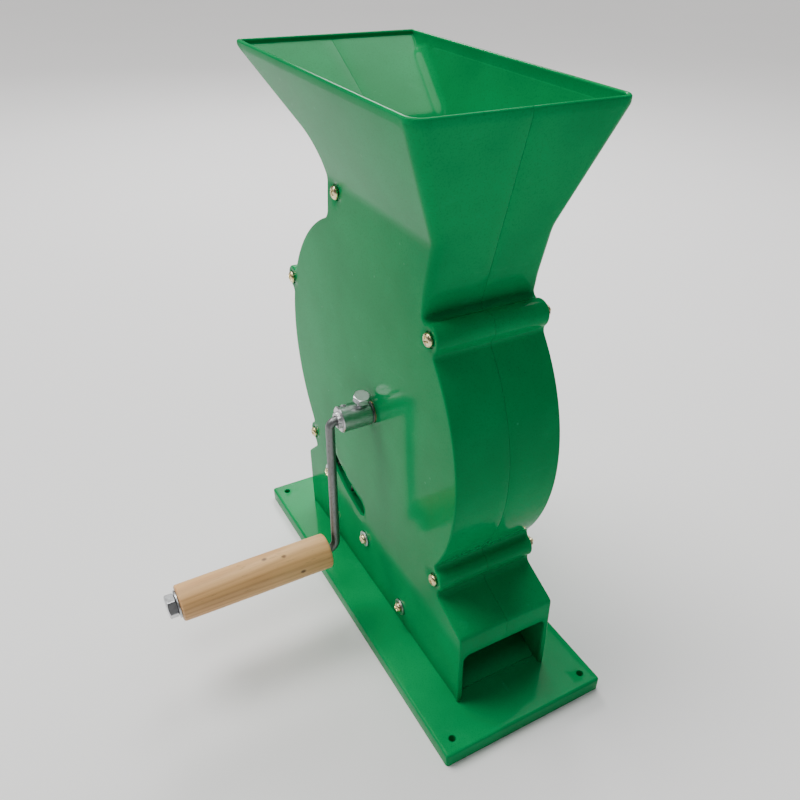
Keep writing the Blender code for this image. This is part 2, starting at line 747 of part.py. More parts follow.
def make_base_plate():
    half_x, half_y = PLATE_LENGTH / 2, PLATE_WIDTH / 2
    bm = box((-half_x, -half_y, 0), (half_x, half_y, PLATE_THICK))
    upper = [e for e in bm.edges if all(v.co.z > PLATE_THICK / 2 for v in e.verts)]
    bmesh.ops.bevel(bm, geom=upper, offset=PLATE_EDGE, segments=3, profile=0.5, affect="EDGES")
    plate = add("base_plate", bm, (GREEN, 0.25))
    shapes = []
    for sx in (-1, 1):
        for sy in (-1, 1):
            x, y = sx * (half_x - CORNER_INSET_X), sy * (half_y - CORNER_INSET_Y)
            hole = rod(CORNER_HOLE, -WALL, PLATE_THICK + WALL)
            shapes.append(moved(hole, Matrix.Translation((x, y, 0))))
    for x in FOOT_SCREWS_X:
        for sy in (-1, 1):
            sink = FOOT_HEAD + GAP
            shank = FOOT_SHANK + GAP
            profile = [(0, -WALL), (sink, -WALL), (sink, GAP), (shank, GAP + FOOT_HEAD_DEEP),
                       (shank, PLATE_THICK + WALL), (0, PLATE_THICK + WALL)]
            hole = turned(profile, 16)
            shapes.append(moved(hole, Matrix.Translation((x, sy * FOOT_SCREW_Y, 0))))
    combine(plate, "DIFFERENCE", "base_plate_holes", join(*shapes))


def make_foot_screws():
    """Countersunk screws that come up through the base plate."""
    top = foot_screw_top()
    number = 0
    for x in FOOT_SCREWS_X:
        for sy in (-1, 1):
            number += 1
            profile = [(0, GAP), (FOOT_HEAD, GAP), (FOOT_SHANK, GAP + FOOT_HEAD_DEEP),
                       (FOOT_SHANK, top - FOOT_SHANK), (0, top)]
            add(f"foot_screw_{number}", turned(profile, 12), (ZINC, 0.35, 1.0),
                at=(x, sy * FOOT_SCREW_Y, 0))


def chute_height(x):
    return PLATE_TOP + CHUTE_SLOPE * (CHUTE_END_X - x)


def make_chute():
    """A sloping plate from the left foot wall down to the outlet, with lugs under it."""
    down = CHUTE_THICK * math.sqrt(1 + CHUTE_SLOPE ** 2)
    half = INNER_HALF - GAP
    slope = -math.degrees(math.atan(CHUTE_SLOPE))
    surface = straight((CHUTE_END_X, PLATE_TOP), slope)
    wall = shifted(foot_and_hopper_lines()["slant_left"], -WALL - 2 * GAP)
    upper = crossings(surface, wall)[0].x
    nose_x = CHUTE_END_X - (GAP + CHUTE_NOSE) / CHUTE_SLOPE
    heel_x = CHUTE_END_X - (GAP + down) / CHUTE_SLOPE
    profile = [
        (upper, chute_height(upper)), (nose_x, chute_height(nose_x)), (nose_x, FLOOR),
        (heel_x, FLOOR), (upper, chute_height(upper) - down),
    ]
    chute = add("chute", slab(profile, -half, half), (GREEN, 0.3))
    lugs, holes = [], []
    for x in CHUTE_SCREWS.values():
        z = chute_height(x) - CHUTE_SCREW_DROP
        for side in (-1, 1):
            inner = side * (half - LUG_DEPTH)
            block = [(x - LUG_HALF, z - LUG_HALF), (x + LUG_HALF, z - LUG_HALF),
                     (x + LUG_HALF, chute_height(x + LUG_HALF) - down / 2),
                     (x - LUG_HALF, chute_height(x - LUG_HALF) - down / 2)]
            lugs.append(slab(block, side * (half - GAP), inner))
            deep = side * (INNER_HALF - SIDE_REACH - GAP)
            holes.append(cross_hole(SIDE_SHANK + GAP, x, z, deep, side * (half + WALL)))
    combine(chute, "UNION", "chute_lugs", join(*lugs))
    combine(chute, "DIFFERENCE", "chute_holes", join(*holes))


def make_foot_block():
    """A cross block on the base plate that ties the two faces at the left foot."""
    x, z = BLOCK_SCREW
    half = INNER_HALF - GAP
    shape = box((x - BLOCK_HALF, -half, FLOOR), (x + BLOCK_HALF, half, z + BLOCK_HALF))
    block = add("foot_block", shape, (BLACK, 0.5))
    deep = INNER_HALF - SIDE_REACH - GAP
    holes = [
        cross_hole(SIDE_SHANK + GAP, x, z, side * deep, side * (half + WALL))
        for side in (-1, 1)
    ]
    combine(block, "DIFFERENCE", "foot_block_holes", join(*holes))


# ---------------------------------------------------------------- fasteners

def pan_head_screw(shank, head, head_high, length, segments=12):
    """Head on +Z with its seat at height 0, shank below."""
    crown = math.radians(HEAD_CROWN)
    crown_high = HEAD_RIM + (1 - HEAD_RIM) * math.sin(crown)
    point = shank * SCREW_POINT
    profile = [(0, -length), (point, -length), (shank, -length + point), (shank, 0), (head, 0),
               (head, head_high * HEAD_RIM), (head * math.cos(crown), head_high * crown_high),
               (0, head_high)]
    return turned(profile, segments)


def make_clamp_screws():
    """Long screws through both halves, with nuts behind."""
    length = 2 * FACE_OUT + NUT_THICK + CLAMP_SHANK
    for name, (x, z) in clamp_screw_places().items():
        screw = pan_head_screw(CLAMP_SHANK, CLAMP_HEAD, CLAMP_HEAD_HIGH, length)
        add("clamp_screw_" + name, screw, (YELLOW_ZINC, 0.3, 1.0),
            at=(x, -FACE_OUT, z), turn=TURN_FRONT)
        nut = hex_ring(NUT_ACROSS, CLAMP_SHANK + GAP, 0, NUT_THICK)
        add("clamp_nut_" + name, nut, (YELLOW_ZINC, 0.3, 1.0),
            at=(x, FACE_OUT, z), turn=TURN_BACK)


def make_side_screws():
    """Short screws with washers into the chute's lugs and the foot block, from both sides."""
    for side, side_name, turn in ((-1, "front", TURN_FRONT), (1, "back", TURN_BACK)):
        for name, (x, z) in side_screw_places().items():
            seat = FACE_OUT + WASHER_THICK + GAP
            length = seat - (INNER_HALF - SIDE_REACH)
            screw = pan_head_screw(SIDE_SHANK, SIDE_HEAD, SIDE_HEAD_HIGH, length)
            add(f"side_screw_{side_name}_{name}", screw, (YELLOW_ZINC, 0.3, 1.0),
                at=(x, side * seat, z), turn=turn)
            washer = annulus(SIDE_SHANK + GAP, WASHER, 0, WASHER_THICK)
            add(f"side_washer_{side_name}_{name}", washer, (ZINC, 0.3, 1.0),
                at=(x, side * FACE_OUT, z), turn=turn)


# ---------------------------------------------------------------- shaft and rotor

def bush_inner_end():
    """Distance from the parting plane to the inner face of a bush's flange."""
    return INNER_HALF - BEARING_BOSS_IN - GAP - BUSH_FLANGE_THICK


def make_bushes():
    """Flanged bushes pushed into the housing from inside."""
    bore = SHAFT_RADIUS + RUNNING
    body = bore + BUSH_WALL
    inner_end = bush_inner_end()
    flange = inner_end + BUSH_FLANGE_THICK
    profile = [(bore, inner_end), (BUSH_FLANGE, inner_end), (BUSH_FLANGE, flange),
               (body, flange), (body, HALF_WIDTH), (bore, HALF_WIDTH)]
    for name, turn in (("bush_front", TURN_FRONT), ("bush_back", TURN_BACK)):
        add(name, turned(profile, 24, ring=True), (BRONZE, 0.35, 1.0),
            at=(SHAFT_X, 0, SHAFT_Z), turn=turn)


def make_shaft(axis):
    groove_low = FACE_OUT + THRUST_THICK
    groove_high = groove_low + CLIP_THICK + 2 * GAP
    front = collar_start() + SHAFT_IN_COLLAR
    waist = SHAFT_RADIUS - CLIP_GROOVE
    profile = [
        (0, -SHAFT_BACK), (SHAFT_RADIUS - GAP, -SHAFT_BACK), (SHAFT_RADIUS, GAP - SHAFT_BACK),
        (SHAFT_RADIUS, -groove_high), (waist, -groove_high), (waist, -groove_low),
        (SHAFT_RADIUS, -groove_low), (SHAFT_RADIUS, front), (0, front),
    ]
    add("shaft", turned(profile, 24), (STEEL, 0.3, 1.0), turn=TURN_FRONT, parent=axis)


def make_thrust_washers(axis):
    for name, turn in (("thrust_washer_front", TURN_FRONT), ("thrust_washer_back", TURN_BACK)):
        washer = annulus(SHAFT_RADIUS + GAP, THRUST_WASHER, FACE_OUT, FACE_OUT + THRUST_THICK)
        add(name, washer, (STEEL, 0.4, 1.0), turn=turn, parent=axis)


def make_clip(axis):
    """An open retaining clip in the shaft's groove behind the housing."""
    inner, outer = SHAFT_RADIUS - CLIP_GROOVE + GAP, CLIP_RADIUS
    half = math.radians(CLIP_OPENING / 2)
    count = 20
    angles = [half + (2 * math.pi - 2 * half) * i / count - math.pi / 2 for i in range(count + 1)]
    there = [(outer * math.cos(a), outer * math.sin(a)) for a in angles]
    back = [(inner * math.cos(a), inner * math.sin(a)) for a in angles[::-1]]
    start = FACE_OUT + THRUST_THICK + GAP
    shape = slab(there + back, start, start + CLIP_THICK)
    add("retaining_clip", shape, (STEEL, 0.35, 1.0), parent=axis)


def disc_faces():
    outer = bush_inner_end() - DISC_SPACE
    return outer - DISC_THICK, outer


def make_rotor(axis):
    inner, outer = disc_faces()
    bore = SHAFT_RADIUS + GAP
    hub_end = inner - GAP
    window_at = DISC_WINDOW_AT * BAR_INNER
    hub = add("rotor_hub", annulus(bore, HUB_RADIUS, -hub_end, hub_end, 24), (CAST_GREY, 0.5, 1.0),
              turn=TURN_FRONT, parent=axis)
    combine(hub, "DIFFERENCE", "hub_screw_hole",
            moved(rod(HUB_SCREW + GAP, 0, HUB_RADIUS + WALL), Matrix.Rotation(math.pi / 2, 4, "Y")))
    add("hub_set_screw", rod(HUB_SCREW, bore, HUB_RADIUS - GAP, 12), (STEEL, 0.4, 1.0),
        turn=(0, math.pi / 2, 0), parent=axis)
    for name, turn in (("rotor_disc_front", TURN_FRONT), ("rotor_disc_back", TURN_BACK)):
        disc = add(name, annulus(bore, BAR_INNER - GAP, inner, outer, 48), (CAST_GREY, 0.5, 1.0),
                   turn=turn, parent=axis)
        windows = []
        for i in range(BAR_COUNT):
            angle = 2 * math.pi * i / BAR_COUNT
            place = (window_at * math.cos(angle), window_at * math.sin(angle), 0)
            hole = rod(DISC_WINDOW, inner - WALL, outer + WALL, 16)
            windows.append(moved(hole, Matrix.Translation(place)))
        combine(disc, "DIFFERENCE", name + "_windows", join(*windows))
    half = outer + BAR_OVERHANG
    for i in range(BAR_COUNT):
        bar = rasp_bar(half)
        add(f"rasp_bar_{i + 1}", bar, (CAST_GREY, 0.45, 1.0),
            turn=(0, math.pi * (2 * i + 1) / BAR_COUNT, 0), parent=axis)


def rasp_bar(half):
    """A bar along Y with a saw-toothed outer edge, standing out along +X."""
    pitch = 2 * half / TOOTH_COUNT
    edge = [(BAR_INNER, half), (BAR_INNER, -half)]
    for i in range(TOOTH_COUNT):
        start = -half + i * pitch
        edge.append((BAR_OUTER - TOOTH_DEEP, start))
        edge += [(BAR_OUTER, start + share * pitch) for share in TOOTH_TOP]
    edge.append((BAR_OUTER - TOOTH_DEEP, half))
    return prism([(x, y, -BAR_WIDTH / 2) for x, y in edge], (0, 0, BAR_WIDTH))


# ---------------------------------------------------------------- concave

def wall(bm, vert, cell, axis, side):
    """The face on one side of a cell, across one of its three axes."""
    corners = []
    for across in ((0, 0), (1, 0), (1, 1), (0, 1)):
        offset = list(across)
        offset.insert(axis, side)
        corners.append(vert(*(c + o for c, o in zip(cell, offset))))
    bm.faces.new(corners)


def lattice(angles, radii, depths, filled):
    """Cells about the drum's centre, in angle, radius and depth: walls only where a filled
    cell meets an empty one."""
    bm = bmesh.new()
    verts = {}

    def vert(i, j, k):
        if (i, j, k) not in verts:
            a, r = math.radians(angles[i]), radii[j]
            verts[i, j, k] = bm.verts.new(
                (DRUM_X + r * math.cos(a), depths[k], DRUM_Z + r * math.sin(a)))
        return verts[i, j, k]

    def solid(i, j, k):
        inside = 0 <= i < len(angles) - 1 and 0 <= j < len(radii) - 1 and 0 <= k < len(depths) - 1
        return inside and filled(i, j, k)

    for i in range(len(angles) - 1):
        for j in range(len(radii) - 1):
            for k in range(len(depths) - 1):
                if not solid(i, j, k):
                    continue
                for axis in range(3):
                    for side in (0, 1):
                        cell = [i, j, k]
                        cell[axis] += 2 * side - 1
                        if not solid(*cell):
                            wall(bm, vert, (i, j, k), axis, side)
    return bm


def make_concave():
    """Slotted sheet with cross ribs beneath it and a flange at each end."""
    rib = degrees_at(RIB_THICK, CONCAVE_INNER)
    bar = degrees_at(CONCAVE_BAR, CONCAVE_INNER)
    bay = (CONCAVE_TO - CONCAVE_FROM - rib) / CONCAVE_BAYS
    window = (bay - rib - 3 * bar) / 2
    angles, kinds = [CONCAVE_FROM], []
    for number in range(CONCAVE_BAYS):
        kinds += ["flange" if number == 0 else "rib", "bar", "window", "bar", "window", "bar"]
        for width in (rib, bar, window, bar, window, bar):
            angles.append(angles[-1] + width)
    kinds.append("flange")
    angles.append(CONCAVE_TO)
    sheet = CONCAVE_INNER + CONCAVE_THICK
    radii = [CONCAVE_INNER, sheet, sheet + CONCAVE_RIB, CONCAVE_FLANGE]
    half = INNER_HALF - CONCAVE_SIDE
    window_end = half - CONCAVE_EDGE
    depths = [-half, -window_end, -CONCAVE_BAR, CONCAVE_BAR, window_end, half]

    def filled(i, j, k):
        if j == 0:
            return not (kinds[i] == "window" and k in (1, 3))
        if j == 1:
            return kinds[i] in ("rib", "flange")
        return kinds[i] == "flange"

    add("concave", lattice(angles, radii, depths, filled), (BLACK, 0.45))


# ---------------------------------------------------------------- crank

def collar_start():
    """Where the collar's inner end is, out from the parting plane."""
    return FACE_OUT + THRUST_THICK + GAP


def make_collar(axis):
    start = collar_start()
    end = start + COLLAR_LENGTH
    cut = COLLAR_CHAMFER
    shaft_end = start + SHAFT_IN_COLLAR + GAP
    shaft_bore = SHAFT_RADIUS + GAP
    rod_bore = ROD_RADIUS + GAP
    profile = [
        (shaft_bore, start), (COLLAR_RADIUS - cut, start), (COLLAR_RADIUS, start + cut),
        (COLLAR_RADIUS, end - cut), (COLLAR_RADIUS - cut, end), (COLLAR_NOSE, end),
        (COLLAR_NOSE - cut, end + COLLAR_NOSE_LENGTH), (rod_bore, end + COLLAR_NOSE_LENGTH),
        (rod_bore, shaft_end), (shaft_bore, shaft_end),
    ]
    collar = add("crank_collar", turned(profile, 24, ring=True), (ZINC, 0.3, 1.0),
                 turn=TURN_FRONT, parent=axis)
    leaning = Matrix.Rotation(math.radians(-BOLT_LEAN), 4, "Z")
    upright = leaning @ Matrix.Rotation(-math.pi / 2, 4, "X")
    bolt_hole = moved(rod(BOLT_SHANK + GAP, SHAFT_RADIUS / 2, COLLAR_RADIUS + WALL, 12),
                      Matrix.Translation((0, 0, start + BOLT_FROM_FACE)) @ upright)
    grub_hole = moved(rod(GRUB_RADIUS + GAP, ROD_RADIUS / 2, COLLAR_RADIUS + WALL, 12),
                      Matrix.Translation((0, 0, end - GRUB_FROM_END)) @ upright)
    combine(collar, "DIFFERENCE", "collar_screw_holes", join(bolt_hole, grub_hole))
    lean = (0, math.radians(BOLT_LEAN), 0)
    head = COLLAR_RADIUS + BOLT_NECK
    shape = prism([(x, y, head) for x, y in hexagon(BOLT_ACROSS)], (0, 0, BOLT_HEAD_HIGH))
    bolt = add("collar_bolt", shape, (ZINC, 0.3, 1.0),
               at=(0, -start - BOLT_FROM_FACE, 0), turn=lean, parent=axis)
    shank = rod(BOLT_SHANK, SHAFT_RADIUS + GAP, head + BOLT_HEAD_HIGH / 2)
    combine(bolt, "UNION", "collar_bolt_shank", shank)
    add("collar_grub_screw", rod(GRUB_RADIUS, ROD_RADIUS + GAP, COLLAR_RADIUS - GRUB_SUNK, 12),
        (STEEL, 0.4, 1.0), at=(0, GRUB_FROM_END - end, 0), turn=lean, parent=axis)


def arm_distances():
    """The arm's axis at its top and its foot, out from the parting plane."""
    top = collar_start() + COLLAR_LENGTH + ROD_OUT
    return top, top + ROD_SPLAY


def grip_start():
    return arm_distances()[1] + KNEE_BOTTOM + GAP


def rod_path():
    """The rod's axis in the (outwards, up) plane: out of the collar, down, and out again."""
    top, foot = arm_distances()
    first = Vector((collar_start() + SHAFT_IN_COLLAR + 2 * GAP, 0))
    corner_a, corner_b = Vector((top, 0)), Vector((foot, -CRANK_RADIUS))
    last = Vector((grip_start() + GRIP_LENGTH + GRIP_WASHER_THICK + GRIP_NUT_HIGH / 2 + 2 * GAP,
                   -CRANK_RADIUS))
    points = [first]
    route = ((first, corner_a, corner_b, KNEE_TOP), (corner_a, corner_b, last, KNEE_BOTTOM))
    for before, corner, after, radius in route:
        a, b = (before - corner).normalized(), (after - corner).normalized()
        half = a.angle(b) / 2
        centre = corner + (a + b).normalized() * radius / math.sin(half)
        start, end = corner + a * radius / math.tan(half), corner + b * radius / math.tan(half)
        turning_right = (corner - before).cross(after - corner) < 0
        points += [start] + arc_points(centre, start, end, turning_right, math.radians(18))
    return points + [last]


def make_rod(axis):
    curve = bpy.data.curves.new("crank_rod", "CURVE")
    curve.dimensions = "3D"
    curve.bevel_depth = ROD_RADIUS
    curve.bevel_resolution = 4
    curve.use_fill_caps = True
    spline = curve.splines.new("POLY")
    path = rod_path()
    spline.points.add(len(path) - 1)
    for point, (out, up) in zip(spline.points, path):
        point.co = (0, -out, up, 1)
    curve.materials.append(finish_material("crank_rod", STEEL, 0.4, 1.0))
    thing = bpy.data.objects.new("crank_rod", curve)
    bpy.context.scene.collection.objects.link(thing)
    thing.parent = axis


def make_grip(crank_axis):
    """The wooden grip turns on the rod's outer leg, held by a washer and a nut."""
    axis = add_axis("grip_axis", (0, 0, -CRANK_RADIUS), crank_axis)
    start = grip_start()
    end = start + GRIP_LENGTH
    bore = ROD_RADIUS + GRIP_PLAY
    edge = GRIP_EDGE
    profile = [(bore, start), (GRIP_RADIUS - edge, start), (GRIP_RADIUS, start + edge),
               (GRIP_RADIUS, end - edge), (GRIP_RADIUS - edge, end), (bore, end)]
    add("grip", turned(profile, 24, ring=True), (WOOD, 0.55), turn=TURN_FRONT, parent=axis)
    washer = annulus(ROD_RADIUS + GAP, GRIP_WASHER, end + GAP, end + GAP + GRIP_WASHER_THICK)
    add("grip_washer", washer, (ZINC, 0.35, 1.0), turn=TURN_FRONT, parent=axis)
    seat = end + 2 * GAP + GRIP_WASHER_THICK
    nut_shape = prism([(x, y, seat) for x, y in hexagon(GRIP_NUT_ACROSS)], (0, 0, GRIP_NUT_HIGH))
    nut = add("grip_nut", nut_shape, (ZINC, 0.3, 1.0), turn=TURN_FRONT, parent=axis)
    rod_end = rod_path()[-1].x
    combine(nut, "DIFFERENCE", "grip_nut_bore", rod(ROD_RADIUS + GAP, seat - WALL, rod_end + GAP))


def main():
    clear_scene()
    make_base_plate()
    make_housing("housing_front", -1)
    make_housing("housing_back", 1)
    make_concave()
    make_chute()
    make_foot_block()
    make_foot_screws()
    make_clamp_screws()
    make_side_screws()
    make_bushes()
    crank_axis = add_axis("crank_axis", (SHAFT_X, 0, SHAFT_Z))
    make_shaft(crank_axis)
    make_thrust_washers(crank_axis)
    make_clip(crank_axis)
    make_rotor(crank_axis)
    make_collar(crank_axis)
    make_rod(crank_axis)
    make_grip(crank_axis)


main()
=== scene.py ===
import json
import math

import bmesh
import bpy
import numpy as np
from mathutils import Matrix, Vector
from mathutils.geometry import delaunay_2d_cdt


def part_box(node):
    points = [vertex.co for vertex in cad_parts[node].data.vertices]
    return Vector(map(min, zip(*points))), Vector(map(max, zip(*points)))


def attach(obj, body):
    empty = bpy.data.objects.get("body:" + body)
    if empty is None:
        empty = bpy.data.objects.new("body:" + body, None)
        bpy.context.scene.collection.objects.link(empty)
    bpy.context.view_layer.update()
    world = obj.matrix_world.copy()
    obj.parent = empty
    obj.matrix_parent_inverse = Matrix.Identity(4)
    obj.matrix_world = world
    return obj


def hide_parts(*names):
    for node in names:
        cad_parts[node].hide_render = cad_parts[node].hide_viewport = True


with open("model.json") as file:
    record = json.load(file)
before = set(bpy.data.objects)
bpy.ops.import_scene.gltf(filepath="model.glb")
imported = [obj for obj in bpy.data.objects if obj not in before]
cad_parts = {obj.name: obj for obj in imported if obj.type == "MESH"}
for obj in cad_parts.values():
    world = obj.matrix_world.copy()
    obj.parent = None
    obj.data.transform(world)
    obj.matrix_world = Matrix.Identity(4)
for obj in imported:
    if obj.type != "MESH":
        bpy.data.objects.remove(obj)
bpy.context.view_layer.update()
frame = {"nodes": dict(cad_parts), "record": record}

# Corn sheller. Lengths are in millimetres until a mesh is made. X runs towards the outlet,
# Y away from the crank, Z up. A point of a flat view is a complex number.

mm = 0.001
weldAt = 2e-6                            # metres, where the sheets of one piece are joined


def boxOf(node):                         # a CAD node's lowest and highest corner
    low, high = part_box(node)
    return np.array(low) / mm, np.array(high) / mm


def centreOf(node):
    low, high = boxOf(node)
    return (low + high) / 2


# Meshes

def gridFaces(rows, cols, closeRows, closeCols):
    index = np.arange(rows * cols).reshape(rows, cols)
    if closeRows:
        index = np.vstack([index, index[:1]])
    if closeCols:
        index = np.hstack([index, index[:, :1]])
    corners = [index[:-1, :-1], index[:-1, 1:], index[1:, 1:], index[1:, :-1]]
    return np.stack(corners, -1).reshape(-1, 4)


class Skin:                              # the sheets that make one piece's closed skin

    def __init__(self):
        self.points, self.faces, self.count = [], [], 0

    def add(self, points, faces):
        self.points.append(points)
        self.faces += (np.asarray(faces) + self.count).tolist()
        self.count += len(points)

    def sheet(self, grid, closeRows=False, closeCols=False):
        rows, cols = grid.shape[:2]
        self.add(grid.reshape(-1, 3), gridFaces(rows, cols, closeRows, closeCols))

    def object(self, name, sharpFrom=32):
        mesh = bpy.data.meshes.new(name)
        mesh.from_pydata((np.concatenate(self.points) * mm).tolist(), [], self.faces)
        bm = bmesh.new()
        bm.from_mesh(mesh)
        bmesh.ops.remove_doubles(bm, verts=bm.verts[:], dist=weldAt)
        bmesh.ops.dissolve_degenerate(bm, edges=bm.edges[:], dist=weldAt / 4)
        bmesh.ops.recalc_face_normals(bm, faces=bm.faces[:])
        openEdges = sum(not edge.is_manifold for edge in bm.edges)
        if openEdges:
            print("open edges in", name, openEdges)
        bm.to_mesh(mesh)
        bm.free()
        mesh.shade_smooth()
        mesh.set_sharp_from_angle(angle=math.radians(sharpFrom))
        thing = bpy.data.objects.new(name, mesh)
        bpy.context.scene.collection.objects.link(thing)
        return thing


def inside(points, loop):                # even and odd crossings of a ray towards +X
    a, b = loop[None, :], np.roll(loop, -1)[None, :]
    p = points[:, None]
    spans = (a.imag > p.imag) != (b.imag > p.imag)
    rise = np.where(b.imag == a.imag, 1.0, b.imag - a.imag)
    reach = a.real + (p.imag - a.imag) / rise * (b.real - a.real)
    return (spans & (p.real < reach)).sum(1) % 2 == 1


def regions(faces, walls, count):        # one number for all triangles not parted by a wall
    sides = np.sort(np.stack([faces, np.roll(faces, -1, 1)], -1), -1)
    keys = (sides[..., 0] * count + sides[..., 1]).ravel()
    owner = np.repeat(np.arange(len(faces)), 3)
    order = np.argsort(keys, kind="stable")
    keys, owner = keys[order], owner[order]
    joined = (keys[1:] == keys[:-1]) & ~np.isin(keys[1:], walls[:, 0] * count + walls[:, 1])
    a, b = owner[:-1][joined], owner[1:][joined]
    label, before = np.arange(len(faces)), None
    while before is None or (label != before).any():
        before = label.copy()
        np.minimum.at(label, a, before[b])
        np.minimum.at(label, b, before[a])
        label = label[label]
    return label


def fill(loops, spacing=0, rows=()):
    # Triangles between an outer loop and its holes. Inner points stand on a square grid and
    # on the given rows, clear of the loops. A region is kept if the middle of its largest
    # triangle is between the loops.
    edge = np.concatenate(loops)
    extra = np.zeros(0, complex)
    if spacing:
        x = np.arange(edge.real.min(), edge.real.max(), spacing)
        z = np.arange(edge.imag.min() + spacing / 2, edge.imag.max(), spacing)
        z = np.array([h for h in z if all(abs(h - row) > spacing * 0.6 for row in rows)])
        fine = np.arange(edge.real.min(), edge.real.max(), spacing * 0.6)
        extra = np.concatenate([(x[:, None] + 1j * z[None, :]).ravel(),
                                (fine[:, None] + 1j * np.array(rows)[None, :]).ravel()])
        keep = inside(extra, loops[0])
        for hole in loops[1:]:
            keep &= ~inside(extra, hole)
        extra = extra[keep]
        extra = extra[np.abs(extra[:, None] - edge[None, :]).min(1) > spacing * 0.3]
    points = np.concatenate([edge, extra])
    links, start = [], 0
    for loop in loops:
        index = np.arange(len(loop)) + start
        links += np.stack([index, np.roll(index, -1)], 1).tolist()
        start += len(loop)
    flat = [Vector((p.real, p.imag)) for p in points]
    made, lines, faces, origin, lineOrigin, _ = delaunay_2d_cdt(flat, links, [], 0, 1e-6)
    where = np.array([points[o[0]] if o else complex(*v) for v, o in zip(made, origin)])
    faces = np.array(faces)
    walls = np.sort(np.array([line for line, source in zip(lines, lineOrigin) if source]), 1)
    label = regions(faces, walls, len(made))
    a, b, c = where[faces].T
    area = np.abs((np.conj(b - a) * (c - a)).imag)
    good = (area > 1e-7) & inside((a + b + c) / 3, loops[0])
    for hole in loops[1:]:
        good &= ~inside((a + b + c) / 3, hole)
    largest = np.zeros(len(faces), int)
    order = np.argsort(area, kind="stable")
    largest[label[order]] = order        # the last one written is the largest
    return where, faces[good[largest[label]]]


# Flat outlines. A run is a straight line or a circle travelled clockwise, so that the body
# is on its right. A corner between two runs turns left (1) or right (-1) on a radius.

def unit(v):
    return v / np.abs(v)


def straight(through, degrees):
    return {"through": through, "way": np.exp(1j * np.radians(degrees))}


def between(start, end):
    return {"through": start, "way": unit(end - start)}


def ring(centre, radius):
    return {"centre": centre, "radius": radius}


def shifted(run, outwards):
    if "centre" in run:
        return ring(run["centre"], run["radius"] + outwards)
    return {"through": run["through"] + 1j * run["way"] * outwards, "way": run["way"]}


def footOn(run, point):                  # the run's nearest point
    if "centre" in run:
        return run["centre"] + unit(point - run["centre"]) * run["radius"]
    along = ((point - run["through"]) * np.conj(run["way"])).real
    return run["through"] + run["way"] * along


def wayAt(run, point):
    return run["way"] if "way" in run else -1j * unit(point - run["centre"])


def crossings(a, b):
    if "way" in a and "way" in b:
        turn = np.conj(b["way"])
        along = (turn * (b["through"] - a["through"])).imag / (turn * a["way"]).imag
        return [a["through"] + a["way"] * along]
    if "way" in a:
        a, b = b, a
    if "way" in b:
        base, side = footOn(b, a["centre"]), b["way"]
    else:
        arm = b["centre"] - a["centre"]
        reach = (a["radius"] ** 2 - b["radius"] ** 2 + abs(arm) ** 2) / (2 * abs(arm))
        base, side = a["centre"] + unit(arm) * reach, 1j * unit(arm)
    half = math.sqrt(max(a["radius"] ** 2 - abs(base - a["centre"]) ** 2, 0))
    return [base + side * half, base - side * half]


def rounding(a, b, turn, radius):        # start, centre and end of a corner's arc
    def bend(p):
        return turn * (np.conj(wayAt(a, footOn(a, p))) * wayAt(b, footOn(b, p))).imag
    centre = max(crossings(shifted(a, turn * radius), shifted(b, turn * radius)), key=bend)
    return footOn(a, centre), centre, footOn(b, centre)


def chain(runs, corners, first, last, step=3.0, heights=()):
    # Points and outward normals along the runs, in steps, with a point at each given height
    # of a straight run.
    stops = [rounding(a, b, *corner) for a, b, corner in zip(runs, runs[1:], corners)]
    stops.append((last, None, None))
    points, normals = [], []
    here = first
    for number, (run, (end, centre, leave)) in enumerate(zip(runs, stops)):
        if "way" in run:
            t = np.linspace(0, 1, max(1, math.ceil(abs(end - here) / step)) + 1)
            rise = end.imag - here.imag
            if abs(rise) > 1e-6:
                level = (np.array(heights) - here.imag) / rise
                t = np.concatenate([t, level[(level > 1e-4) & (level < 1 - 1e-4)]])
            t = np.unique(np.round(t, 9))
            points.append(here + (end - here) * t)
            normals.append(np.full(len(t), 1j * run["way"]))
        else:
            arm = here - run["centre"]
            sweep = np.angle(arm / (end - run["centre"])) % (2 * np.pi)
            count = max(math.ceil(run["radius"] * sweep / step), math.ceil(sweep / 0.16))
            t = np.linspace(0, 1, count + 1)
            points.append(run["centre"] + arm * np.exp(-1j * sweep * t))
            normals.append(unit(points[-1] - run["centre"]))
        if centre is not None:
            turn = corners[number][0]
            arm = end - centre
            sweep = abs(np.angle((leave - centre) / arm))
            t = np.linspace(0, 1, max(4, math.ceil(sweep / 0.16)) + 1)[1:]
            points.append(centre + arm * np.exp(1j * turn * sweep * t))
            normals.append(-turn * unit(points[-1] - centre))
            here = leave
    points, normals = np.concatenate(points), np.concatenate(normals)
    keep = np.append(True, np.abs(np.diff(points)) > 1e-4)
    return points[keep], normals[keep]


def eased(corners, closed=False, steps=6, step=0):
    # A path through (point, radius) corners, each corner an arc. Returns points and the
    # normals on their left. Straight stretches are divided by step.
    count = len(corners)
    points = []
    for i, (corner, radius) in enumerate(corners):
        if radius == 0 or (not closed and i in (0, count - 1)):
            points.append(corner)
            continue
        before, after = corners[i - 1][0], corners[(i + 1) % count][0]
        a, b = unit(before - corner), unit(after - corner)
        half = abs(np.angle(a / b)) / 2
        centre = corner + unit(a + b) * radius / math.sin(half)
        start = corner + a * radius / math.tan(half) - centre
        end = corner + b * radius / math.tan(half) - centre
        turn = np.angle(end / start)
        points += list(centre + start * np.exp(1j * turn * np.linspace(0, 1, steps + 1)))
    if step:
        full, ends = [], points[1:] + points[:1] if closed else points[1:]
        for a, b in zip(points, ends):
            full += list(a + (b - a) * np.arange(0, 1, 1 / max(1, math.ceil(abs(b - a) / step))))
        points = full if closed else full + points[-1:]
    points = np.array(points, complex)
    if closed:
        way = np.roll(points, -1) - np.roll(points, 1)
    else:
        way = np.gradient(points)
    return points, 1j * unit(way)


